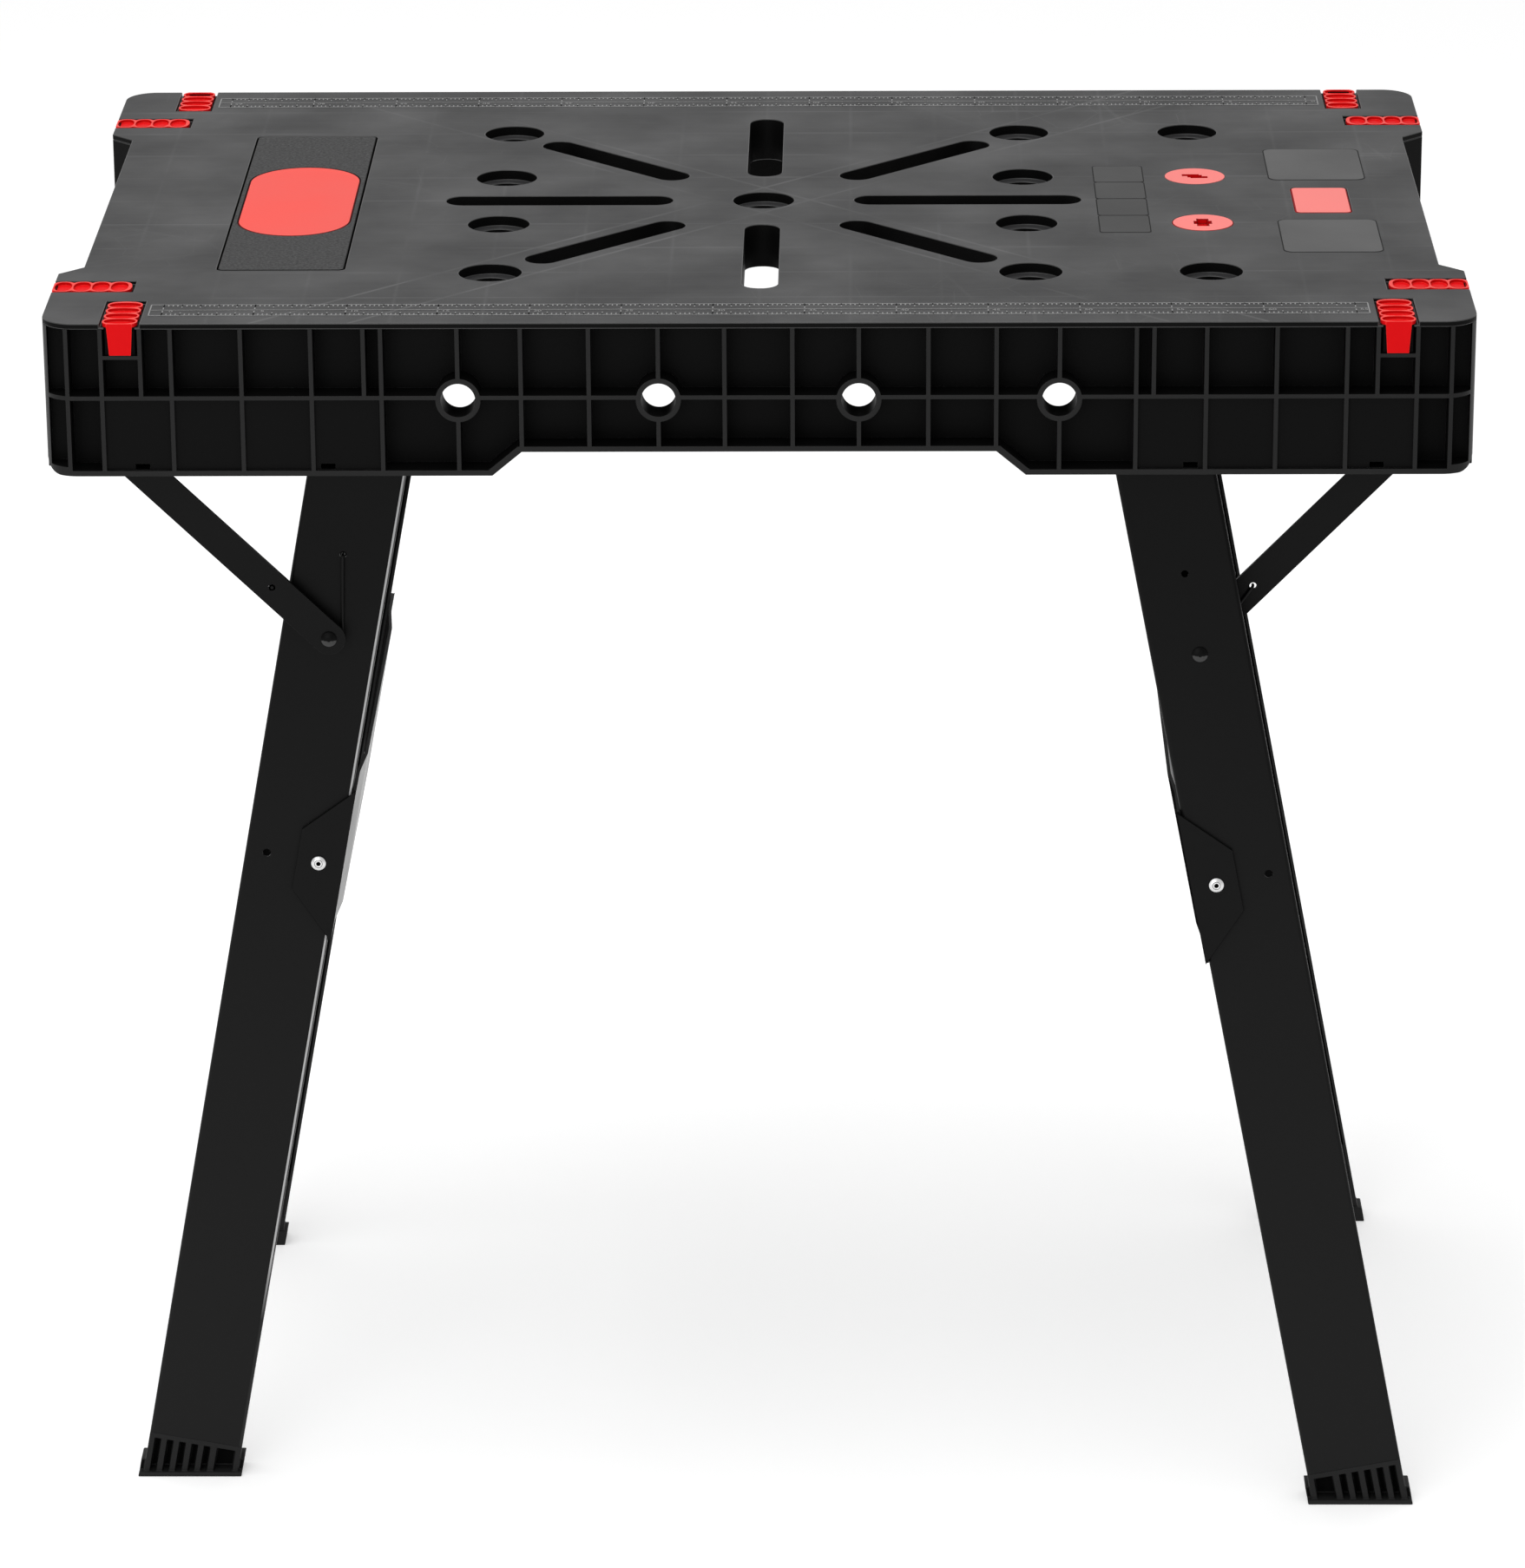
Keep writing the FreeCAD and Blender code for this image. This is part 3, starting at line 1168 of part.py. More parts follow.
def biarc(start, leave, finish, arrive):
    """Two arcs that join smoothly between two points with given directions."""
    across = finish - start
    both = leave + arrive
    spread = 2 * (1 - leave.dot(arrive))
    lead = across.dot(both)
    reach = (-lead + math.sqrt(lead * lead + spread * across.dot(across))) / spread
    middle = (start + leave * reach + finish - arrive * reach) / 2
    return [arc_from(start, leave, middle), arc_from(finish, arrive * -1, middle)]


def spring_frame(side_name):
    """Centre and radius of the coil, and the two hooked arm ends, outward distance and height."""
    splay = math.radians(value(f"size.{side_name}_splay_angle"))
    link = linkage(side_name, 0)
    up = (-math.sin(splay), math.cos(splay))
    towards = (math.cos(link["brace"]), -math.sin(link["brace"]))
    centre = (link["rivet"][0], value("size.bench_height") - link["rivet"][1])
    return centre, up, towards


def make_springs(side_name, side):
    """A torsion spring round each brace rivet. One arm hooks into the leg and the other into the brace."""
    lanes = lane(side_name)
    out = lanes["out"]
    wire = value("size.spring_wire")
    radius = value("size.spring_radius")
    rise = value("size.spring_rise")
    leg_arm = value("size.spring_leg_arm")
    brace_arm = value("size.spring_brace_arm")
    centre, up, towards = spring_frame(side_name)
    brace_y = value(lanes["brace_near"]) - out * (wire / 2 + value("size.fit_gap"))
    leg_y = brace_y - out * rise
    enter = math.atan2(up[1], up[0]) + math.acos(radius / leg_arm)
    leave = math.atan2(towards[1], towards[0]) - math.acos(radius / brace_arm)
    turn = (leave - enter) % (2 * math.pi) + 2 * math.pi * (SPRING_TURNS - 1)

    def at(spot, distance):
        return FreeCAD.Vector(side * spot[0], -distance, spot[1])

    def arm_end(direction, arm, distance):
        return at((centre[0] + arm * direction[0], centre[1] + arm * direction[1]), distance)

    def on_coil(share):
        angle = enter + share * turn
        spot = (centre[0] + radius * math.cos(angle), centre[1] + radius * math.sin(angle))
        return at(spot, leg_y + out * rise * share * share * (3 - 2 * share))

    def along_coil(share):
        angle = enter + share * turn
        climb = out * rise * 6 * share * (1 - share) / turn
        step = FreeCAD.Vector(-side * radius * math.sin(angle), -climb, radius * math.cos(angle))
        return step.normalize()

    leg_tip = f"({lanes['web_seat']} - {out} * size.leg_sheet)"
    bend = value("size.spring_bend")
    edges = hooked_arm(arm_end(up, leg_arm, value(leg_tip)), arm_end(up, leg_arm, leg_y), on_coil(0), bend)
    quarters = round(2 * turn / math.pi)
    for step in range(quarters):
        one = step / quarters
        two = (step + 1) / quarters
        edges += biarc(on_coil(one), along_coil(one), on_coil(two), along_coil(two))
    edges += hooked_arm(arm_end(towards, brace_arm, value(lanes["brace_far"])),
                        arm_end(towards, brace_arm, brace_y), on_coil(1), bend)
    path = Part.Wire(Part.sortEdges([edge.toShape() for edge in edges])[0])
    start = path.OrderedVertexes[0].Point
    heading = path.OrderedEdges[0].tangentAt(path.OrderedEdges[0].FirstParameter)
    section = Part.Wire(Part.Circle(start, heading, wire / 2).toShape())
    spring = doc.addObject("Part::Feature", f"front_{side_name}_spring")
    spring.Shape = path.makePipeShell([section], True, False)
    expected = math.pi * wire * wire / 4 * path.Length
    gap = least_turn_gap(on_coil, turn, wire)
    print(f"{side_name} spring: volume {spring.Shape.Volume:.1f} of {expected:.1f}, "
          f"least gap to itself {gap:.2f}")
    front_and_rear(spring, f"{side_name}_spring")


def hooked_arm(tip, hole, inner, bend):
    """The bent end of a spring arm: a short hook along Y, a round bend, then the arm."""
    along = (inner - hole).normalize()
    hook = (tip - hole).normalize()
    corner_out = hole + hook * bend
    corner_in = hole + along * bend
    edges = [Part.LineSegment(tip, corner_out)] if (tip - corner_out).Length > 0.01 else []
    edges.append(arc_from(corner_out, hook * -1, corner_in))
    edges.append(Part.LineSegment(corner_in, inner))
    return edges


def least_turn_gap(on_coil, turn, wire):
    """The smallest clear gap between neighbouring turns, measured on points along the coil."""
    shares = [step / (SPRING_SAMPLES * SPRING_TURNS) for step in range(SPRING_SAMPLES * SPRING_TURNS + 1)]
    gaps = []
    for one in shares:
        for two in shares:
            if (two - one) * turn > math.pi:
                gaps.append((on_coil(two) - on_coil(one)).Length - wire)
    return min(gaps)


# The whole bench

def build():
    make_deck()
    make_aprons()
    for insert in insert_places():
        make_insert(*insert)
    make_pad()
    front_plug, rear_plug = plug_places()
    make_plug("cross_plug", front_plug[1], True)
    make_plug("slotted_plug", rear_plug[1], False)
    make_lid()
    for side_name, side in SIDES.items():
        make_end_wall(side_name, side)
        make_brackets(side_name, side)
        make_braces(side_name, side)
        make_legs(side_name, side)
        make_feet(side_name, side)
        make_cross_panel(side_name, side)
        make_pins(side_name, side)
        make_springs(side_name, side)
    doc.recompute()


def check():
    """Stops if anything failed to build."""
    for thing in doc.Objects:
        if "Invalid" in thing.State or "Error" in thing.State:
            raise RuntimeError(f"{thing.Name} failed: {thing.State}")
    for piece in nodes:
        if piece.Shape.isNull() or not piece.Shape.isValid() or not piece.Shape.Solids:
            raise RuntimeError(f"{piece.Label} is not a valid solid")


def export():
    os.makedirs("parts", exist_ok=True)
    for piece in nodes:
        piece.Shape.exportStep(os.path.join("parts", f"{piece.Label}.step"))
    print(f"{len(nodes)} sub-parts written")


build()
check()
export()
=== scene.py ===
# %% [markdown]
# # Dressing a folding workbench
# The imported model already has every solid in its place. This lesson gives those solids what a
# photograph shows and a plain solid lacks: soft moulded edges, grained plastic, powder-coated
# steel, raised rulers, wound springs and bright rivets. Each step makes one kind of piece or
# finish.

import json
import math

import bpy
from mathutils import Matrix, Vector

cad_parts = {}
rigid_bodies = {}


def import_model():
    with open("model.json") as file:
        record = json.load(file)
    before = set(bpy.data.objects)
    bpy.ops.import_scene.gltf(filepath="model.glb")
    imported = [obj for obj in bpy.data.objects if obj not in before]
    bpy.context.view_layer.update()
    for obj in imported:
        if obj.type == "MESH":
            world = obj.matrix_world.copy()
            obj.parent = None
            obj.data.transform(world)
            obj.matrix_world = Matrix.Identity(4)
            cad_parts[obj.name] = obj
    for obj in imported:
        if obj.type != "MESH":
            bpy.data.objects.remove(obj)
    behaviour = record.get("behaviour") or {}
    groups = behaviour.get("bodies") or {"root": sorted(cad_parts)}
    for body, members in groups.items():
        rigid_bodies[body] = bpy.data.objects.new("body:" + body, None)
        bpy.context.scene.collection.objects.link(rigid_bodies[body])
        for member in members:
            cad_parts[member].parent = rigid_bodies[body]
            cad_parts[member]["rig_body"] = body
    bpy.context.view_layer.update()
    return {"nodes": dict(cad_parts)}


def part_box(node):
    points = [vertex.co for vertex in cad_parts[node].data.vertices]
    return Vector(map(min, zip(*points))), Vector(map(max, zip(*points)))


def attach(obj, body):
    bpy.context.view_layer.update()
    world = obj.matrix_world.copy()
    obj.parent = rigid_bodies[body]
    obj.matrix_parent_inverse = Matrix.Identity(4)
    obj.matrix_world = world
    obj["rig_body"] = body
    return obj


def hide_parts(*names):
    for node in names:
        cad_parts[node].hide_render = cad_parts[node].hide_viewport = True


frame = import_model()
nodes = frame["nodes"]
MM = 0.001
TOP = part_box("deck")[1].z
ENDS = {"front": -1, "rear": 1}
SIDES = {"left": -1, "right": 1}
print("nodes loaded:", len(nodes), "top face at", round(TOP, 4))

# %% [markdown]
# ## The camera
# The camera stands in front of the bench and a little to the right, far away and looking down by
# about twenty degrees. A long lens keeps the two ends of the top nearly parallel. The numbers come
# from fitting the grid of holes, so the rendered bench lands on the photographed one.

# %% Place the camera
IMAGE_HEIGHT = 1806
FOCAL_PIXELS = 7980.3
SENSOR = 36
FAR_CLIP = 100
CAMERA_PLACE = Vector((0.05235, -3.85449, TOP + 1.05779))
PITCH, YAW, ROLL = 0.351899, 0.014276, -0.006084


def camera_turn(pitch, yaw, roll):
    """The camera's axes as a rotation: right, up and backwards."""
    level_right = Vector((math.cos(yaw), math.sin(yaw), 0))
    ahead = Vector((-math.sin(yaw), math.cos(yaw), 0))
    view = ahead * math.cos(pitch) - Vector((0, 0, 1)) * math.sin(pitch)
    level_up = ahead * math.sin(pitch) + Vector((0, 0, 1)) * math.cos(pitch)
    right = level_right * math.cos(roll) + level_up * math.sin(roll)
    up = level_up * math.cos(roll) - level_right * math.sin(roll)
    return Matrix((right, up, -view)).transposed().to_4x4()


bpy.ops.object.camera_add()
camera = bpy.context.object
camera.matrix_world = Matrix.Translation(CAMERA_PLACE) @ camera_turn(PITCH, YAW, ROLL)
camera.data.sensor_width = SENSOR
camera.data.lens = FOCAL_PIXELS * SENSOR / IMAGE_HEIGHT
camera.data.clip_end = FAR_CLIP
bpy.context.scene.camera = camera
bpy.context.scene.view_settings.view_transform = "Standard"
print("lens", round(camera.data.lens, 2))

# %% [markdown]
# ## Floor and light
# Black plastic shows almost nothing of its own colour. What we see on it is the room. So the room
# is white to the eye and to reflections, which slide over the top at a shallow angle and turn it
# grey. The soft light that falls on things is kept apart from that: brighter from behind, dim from
# the front, so that the legs and the rib cells stay black. A large lamp above gives the shadow on a
# pale floor. The Light Path node tells the two apart.

# %% Build the stage
FLOOR_SIZE = 30
FLOOR_LOOK = {"Base Color": (0.9, 0.9, 0.9, 1), "Roughness": 0.9, "Specular IOR Level": 0.1,
              "Emission Color": (1, 1, 1, 1)}
FLOOR_GLOW = 0.42
LAMPS = {  # place, the point that it looks at, size and power
    "overhead_softbox": ((-0.5, -0.5, 3.4), (0, 0, 0.4), 2.6, 52),
    "front_fill": ((-1.0, -3.2, 1.3), (0, 0, 0.35), 2.4, 26),
}
DIM_LIGHT, FULL_LIGHT = 0.55, 0.8
DIM_UP_TO, FULL_FROM = -0.35, 0.55


def add_shape(name, operator, **settings):
    """A new primitive, which is the only selected object."""
    bpy.ops.object.select_all(action="DESELECT")
    operator(**settings)
    piece = bpy.context.object
    piece.name = name
    return piece


def fill_inputs(node, values):
    for socket, value in values.items():
        node.inputs[socket].default_value = value


def add_node(tree, kind, **values):
    """A new shader node, with these values in its inputs."""
    node = tree.nodes.new(f"ShaderNode{kind}")
    fill_inputs(node, values)
    return node


def calc(tree, operation, one, two=None):
    """A math node for one or two sources, each a number or what another node gives."""
    node = add_node(tree, "Math")
    node.operation = operation
    for socket, source in zip(node.inputs, (one, two)):
        if isinstance(source, (int, float)):
            socket.default_value = source
        elif source is not None:
            tree.links.new(source, socket)
    return node.outputs["Value"]


def spread(tree, value, low, high, start=0.3, stop=0.7):
    """Maps a value onto another range. A noise mostly stays between the usual start and stop."""
    span = add_node(tree, "MapRange")
    fill_inputs(span, {"From Min": start, "From Max": stop, "To Min": low, "To Max": high})
    tree.links.new(value, span.inputs["Value"])
    return span.outputs["Result"]


def seen_directly(tree):
    """One where a ray comes from the camera, a reflection or glass, and zero for bounced light."""
    rays = add_node(tree, "LightPath")
    value = rays.outputs["Is Camera Ray"]
    for kind in ("Is Glossy Ray", "Is Transmission Ray"):
        value = calc(tree, "MAXIMUM", value, rays.outputs[kind])
    return value


def floor_paint():
    """A pale paint that keeps the shadow, and glows to the eye so that it reads as white."""
    paint = bpy.data.materials.new("studio_floor")
    paint.use_nodes = True
    tree = paint.node_tree
    shader = tree.nodes["Principled BSDF"]
    fill_inputs(shader, FLOOR_LOOK)
    glow = calc(tree, "MULTIPLY", seen_directly(tree), FLOOR_GLOW)
    tree.links.new(glow, shader.inputs["Emission Strength"])
    return paint


def add_lamp(name, place, aim, size, power):
    """A square soft lamp that looks at a point."""
    lamp = add_shape(name, bpy.ops.object.light_add, type="AREA", location=place)
    lamp.data.size = size
    lamp.data.energy = power
    lamp.rotation_euler = (Vector(aim) - Vector(place)).to_track_quat("-Z", "Y").to_euler()


def light_room():
    """A world that is white to the eye, with soft light that grows towards the rear."""
    world = bpy.data.worlds.new("studio")
    bpy.context.scene.world = world
    world.use_nodes = True
    sky = world.node_tree
    sky.nodes.clear()
    direction = add_node(sky, "TexCoord")
    axes = add_node(sky, "SeparateXYZ")
    seen = add_node(sky, "Mix", B=1)
    shade = add_node(sky, "Background")
    output = add_node(sky, "OutputWorld")
    sky.links.new(direction.outputs["Generated"], axes.inputs["Vector"])
    soft = spread(sky, axes.outputs["Y"], DIM_LIGHT, FULL_LIGHT, DIM_UP_TO, FULL_FROM)
    sky.links.new(seen_directly(sky), seen.inputs["Factor"])
    sky.links.new(soft, seen.inputs["A"])
    sky.links.new(seen.outputs["Result"], shade.inputs["Strength"])
    sky.links.new(shade.outputs["Background"], output.inputs["Surface"])


floor = add_shape("studio_floor", bpy.ops.mesh.primitive_plane_add, size=FLOOR_SIZE)
floor.data.materials.append(floor_paint())
for name, setup in LAMPS.items():
    add_lamp(name, *setup)
light_room()
print("lamps:", list(LAMPS))

# %% [markdown]
# ## Shared surface effects
# Several finishes here need the same few things: a fine grain, long streaks where plastic flowed in
# the mould, and small marks from handling. Each becomes a node group with named sockets, so that a
# finish only states its own amounts. The groups read Object coordinates, and every piece keeps its
# place in its mesh, so a pattern never slides when a body moves.

# %% Make the node groups
STREAK_STRETCH = (0.035, 1, 1)
SCUFF_WIDTH = 0.012
SCUFFS_START, SCUFFS_FULL = 0.55, 0.75
SINK_LINES = {"Offset": 0.019, "Pitch": 0.05, "Width": 0.0016}
SINKS_START, SINKS_FULL = 0.38, 0.68
ROW_SHARE, COLUMN_SHARE = 0.7, 0.3


def new_group(name, inputs, outputs):
    """An empty shader group with its sockets: name and default for inputs, name for outputs."""
    group = bpy.data.node_groups.new(name, "ShaderNodeTree")
    for socket, default in inputs.items():
        made = group.interface.new_socket(socket, in_out="INPUT", socket_type="NodeSocketFloat")
        made.default_value = default
    for socket in outputs:
        group.interface.new_socket(socket, in_out="OUTPUT", socket_type="NodeSocketFloat")
    start = group.nodes.new("NodeGroupInput")
    finish = group.nodes.new("NodeGroupOutput")
    return group, start, finish


def object_place(tree):
    return add_node(tree, "TexCoord").outputs["Object"]


def add_noise(tree, place, **values):
    noise = add_node(tree, "TexNoise", **values)
    tree.links.new(place, noise.inputs["Vector"])
    return noise


def make_grain():
    """Fine spark-eroded grain: a height for bumps and a tone for slight colour change."""
    group, start, finish = new_group("moulded_grain", {"Scale": 1500.0}, ["Height", "Tone"])
    place = object_place(group)
    fine = add_noise(group, place, Detail=3, Roughness=0.6)
    broad = add_noise(group, place, Scale=14, Detail=4)
    group.links.new(start.outputs["Scale"], fine.inputs["Scale"])
    group.links.new(fine.outputs["Fac"], finish.inputs["Height"])
    group.links.new(broad.outputs["Fac"], finish.inputs["Tone"])
    return group


def make_streaks():
    """Long faint streaks along the bench, as in plastic that flowed through a wide mould."""
    group, start, finish = new_group("flow_streaks", {"Fineness": 90.0}, ["Tone"])
    stretch = add_node(group, "VectorMath")
    stretch.operation = "MULTIPLY"
    stretch.inputs[1].default_value = STREAK_STRETCH
    group.links.new(object_place(group), stretch.inputs[0])
    noise = add_noise(group, stretch.outputs["Vector"], Detail=5, Distortion=0.3)
    group.links.new(start.outputs["Fineness"], noise.inputs["Scale"])
    group.links.new(noise.outputs["Fac"], finish.inputs["Tone"])
    return group


def make_marks():
    """Small scattered scuffs: thin bright lines that break up, on what gets handled."""
    inputs = {"Scale": 24.0, "Amount": 0.5}
    group, start, finish = new_group("handling_marks", inputs, ["Mask"])
    place = object_place(group)
    patch = add_noise(group, place, Scale=9)
    lines = add_node(group, "TexVoronoi")
    lines.feature = "DISTANCE_TO_EDGE"
    group.links.new(place, lines.inputs["Vector"])
    group.links.new(start.outputs["Scale"], lines.inputs["Scale"])
    near = spread(group, lines.outputs["Distance"], 1, 0, 0, SCUFF_WIDTH)
    broken = spread(group, patch.outputs["Fac"], 0, 1, SCUFFS_START, SCUFFS_FULL)
    both = calc(group, "MULTIPLY", near, broken)
    mask = calc(group, "MULTIPLY", both, start.outputs["Amount"])
    group.links.new(mask, finish.inputs["Mask"])
    return group


def make_sink_lines():
    """Faint lines over the walls and ribs below a moulded top, where the plastic shrank as it
    cooled. Two run beside each diagonal slot, and others follow the rows and columns of holes."""
    group, start, finish = new_group("sink_lines", SINK_LINES, ["Mask"])
    place = object_place(group)
    axes = add_node(group, "SeparateXYZ")
    group.links.new(place, axes.inputs["Vector"])

    def line(distance):
        """One on the line, fading to zero over its width."""
        share = calc(group, "DIVIDE", calc(group, "ABSOLUTE", distance), start.outputs["Width"])
        return calc(group, "MAXIMUM", calc(group, "SUBTRACT", 1.0, share), 0.0)

    x, y = axes.outputs["X"], axes.outputs["Y"]
    masks = []
    for operation in ("ADD", "SUBTRACT"):
        diagonal = calc(group, "ABSOLUTE", calc(group, operation, x, y))
        across = calc(group, "MULTIPLY", diagonal, math.sqrt(0.5))
        masks.append(line(calc(group, "SUBTRACT", across, start.outputs["Offset"])))
    half = calc(group, "MULTIPLY", start.outputs["Pitch"], 0.5)
    for axis, share in ((y, ROW_SHARE), (x, COLUMN_SHARE)):
        masks.append(calc(group, "MULTIPLY", line(calc(group, "PINGPONG", axis, half)), share))
    whole = masks[0]
    for mask in masks[1:]:
        whole = calc(group, "MAXIMUM", whole, mask)
    patch = add_noise(group, place, Scale=13, Detail=3)
    strength = spread(group, patch.outputs["Fac"], 0, 1, SINKS_START, SINKS_FULL)
    group.links.new(calc(group, "MULTIPLY", whole, strength), finish.inputs["Mask"])
    return group


grain = make_grain()
streaks = make_streaks()
marks = make_marks()
sinks = make_sink_lines()
print("groups:", [group.name for group in (grain, streaks, marks, sinks)])

# %% [markdown]
# ## Finishes
# The bench has few materials, and each is seen in several states; some are lit and shaded copies
# of one material, that is painted light and painted shade. The deck is smoother and streaked, the
# ribs are duller, the tray's lid has a coarse grain. Steel is powder coated, and a leg changes its
# grey with height as painted light and shade: paler near the floor, darker under the top. The red
# pieces are a soft bright plastic. One helper sets up the shader and another feeds it.

# %% Make the finishes
GREY = (1, 1, 1)
RED = (1, 0.006, 0.009)
ROSE = (1, 0.055, 0.045)
CORAL = (1, 0.1, 0.08)
PINK = (1, 0.255, 0.235)
GRAINED = {  # colour, darkest and lightest level, roughness, grain scale and strength, specular
    "rib_plastic": (GREY, 0.002, 0.0042, 0.5, 1100, 0.2, 0.05),
    # Paler for the fronts of the apron's ribs, as painted light.
    "rib_front": (GREY, 0.0085, 0.0145, 0.45, 1100, 0.15, 0.14),
    "edge_plastic": (GREY, 0.022, 0.036, 0.36, 1100, 0.15, 0.35),
    "plate_plastic": (GREY, 0.024, 0.034, 0.4, 2400, 0.08, 0.36),
    "small_plate": (GREY, 0.016, 0.024, 0.46, 2400, 0.1, 0.25),
    "ruler_plastic": (GREY, 0.19, 0.26, 0.42, 1100, 0.1, 0.4),
    "foot_plastic": (GREY, 0.012, 0.019, 0.5, 1000, 0.22, 0.12),
    "red_plastic": (RED, 0.72, 0.84, 0.42, 1300, 0.12, 0.05),
    "red_edge": (ROSE, 0.84, 0.93, 0.4, 1300, 0.1, 0.14),
    "red_shade": (RED, 0.5, 0.64, 0.5, 1300, 0.12, 0.04),
    "key_red": (RED, 0.1, 0.17, 0.55, 1300, 0.15, 0.06),
    "rim_red": (RED, 0.24, 0.34, 0.5, 1300, 0.12, 0.08),
    "oval_red": (CORAL, 0.82, 0.93, 0.5, 700, 0.45, 0.16),
    "rubber_red": (PINK, 0.88, 0.97, 0.6, 1500, 0.25, 0.18),
    "steel_coat": (GREY, 0.0035, 0.0062, 0.42, 700, 0.18, 0.08),
    "steel_edge": (GREY, 0.012, 0.022, 0.35, 700, 0.12, 0.3),
    "side_coat": (GREY, 0.0035, 0.0062, 0.42, 700, 0.15, 0.1),
    "panel_coat": (GREY, 0.0045, 0.008, 0.3, 700, 0.1, 0.28),
    "panel_shade": (GREY, 0.006, 0.0095, 0.6, 700, 0.1, 0.0),
    "rivet_steel": (GREY, 0.0012, 0.0025, 0.3, 1600, 0.05, 0.06),
    # Painted light on the lower side of the rivets' domes.
    "dome_painted_light": (GREY, 0.026, 0.046, 0.34, 1600, 0.05, 0.3),
    "spring_steel": (GREY, 0.0015, 0.003, 0.4, 1600, 0.08, 0.12),
    "dark_steel": (GREY, 0.008, 0.02, 0.32, 1600, 0.1, 0.3),
    "groove_plastic": (GREY, 0.006, 0.01, 0.6, 900, 0.1, 0.08),
    # The next two are painted shade: black for hollows, gaps and holes.
    "painted_shade_black": (GREY, 0.003, 0.005, 0.8, 900, 0.1, 0.04),
    "hole_painted_shade": (GREY, 0.0002, 0.0004, 0.9, 900, 0.05, 0.0),
    "zinc": (GREY, 0.55, 0.72, 0.26, 1800, 0.1, 0.5, 1.0),  # the last value is metallic
}
# The changes with height are painted light and shade: paler low down, where the floor's light
# reaches, and darker higher up in the top's shade. The bend's pale coat is a painted highlight.
RISING = {  # level below and above, the heights where it starts and stops to change, specular
    "bend_painted_highlight": (0.01, 0.54, 0.1, 0.14, 0.2),
    "bend_shade": (0.018, 0.006, 0.0, 0.58, 0.03),
    "leg_coat": (0.0135, 0.003, 0.0, 0.58, 0.08),
    "rim_coat": (0.032, 0.004, 0.4, 0.52, 0.04),
}
DECK = {"dark": (0.009, 0.009, 0.0095), "light": (0.024, 0.024, 0.025),
        "brushed": (0.03, 0.03, 0.031), "cloud": (0.04, 0.04, 0.041),
        "line": (0.085, 0.085, 0.086), "scratch": (0.1, 0.1, 0.1)}
LID_DARK, LID_LIGHT = (0.002, 0.002, 0.002), (0.03, 0.03, 0.031)
COAT_GRAIN = 700
GRAIN_DEPTH = 0.15 * MM


def place_group(tree, group, **values):
    node = add_node(tree, "Group")
    node.node_tree = group
    fill_inputs(node, values)
    return node


def mix_colour(tree, mask, under, over):
    """A colour laid over another one, or over what a node gives, where a mask or tone says."""
    mix = add_node(tree, "Mix")
    mix.data_type = "RGBA"
    mix.inputs["B"].default_value = (*over, 1)
    if isinstance(under, bpy.types.NodeSocket):
        tree.links.new(under, mix.inputs["A"])
    else:
        mix.inputs["A"].default_value = (*under, 1)
    tree.links.new(mask, mix.inputs["Factor"])
    return mix.outputs["Result"]


def new_finish(name, specular, metallic=0.0):
    finish = bpy.data.materials.new(name)
    finish.use_nodes = True
    tree = finish.node_tree
    shader = tree.nodes["Principled BSDF"]
    fill_inputs(shader, {"Specular IOR Level": specular, "Metallic": metallic})
    return finish, tree, shader


def wire_up(tree, shader, colour, rough, height, strength, distance):
    """Feeds the shader its colour, its roughness and the bumps of its grain."""
    bump = add_node(tree, "Bump", Strength=strength, Distance=distance)
    tree.links.new(height, bump.inputs["Height"])
    tree.links.new(bump.outputs["Normal"], shader.inputs["Normal"])
    tree.links.new(colour, shader.inputs["Base Color"])
    tree.links.new(rough, shader.inputs["Roughness"])


def grained_finish(name, colour, darkest, lightest, rough, scale, strength, specular, metallic=0.0):
    """A finish that is mostly one colour with fine grain: moulded plastic or powder coat."""
    finish, tree, shader = new_finish(name, specular, metallic)
    surface = place_group(tree, grain, Scale=scale)
    tone = surface.outputs["Tone"]
    dark = [channel * darkest for channel in colour]
    light = [channel * lightest for channel in colour]
    wire_up(tree, shader, mix_colour(tree, tone, dark, light),
            spread(tree, tone, rough - 0.04, rough + 0.05),
            surface.outputs["Height"], strength, GRAIN_DEPTH)
    return finish


def rising_finish(name, low, high, start, stop, specular):
    """Powder coat whose grey changes with height: painted light and shade on the legs."""
    finish, tree, shader = new_finish(name, specular)
    axes = add_node(tree, "SeparateXYZ")
    tree.links.new(object_place(tree), axes.inputs["Vector"])
    rising = spread(tree, axes.outputs["Z"], 0.0, 1.0, start, stop)
    surface = place_group(tree, grain, Scale=COAT_GRAIN)
    wire_up(tree, shader, mix_colour(tree, rising, (low,) * 3, (high,) * 3),
            spread(tree, surface.outputs["Tone"], 0.38, 0.47),
            surface.outputs["Height"], 0.18, GRAIN_DEPTH)
    return finish


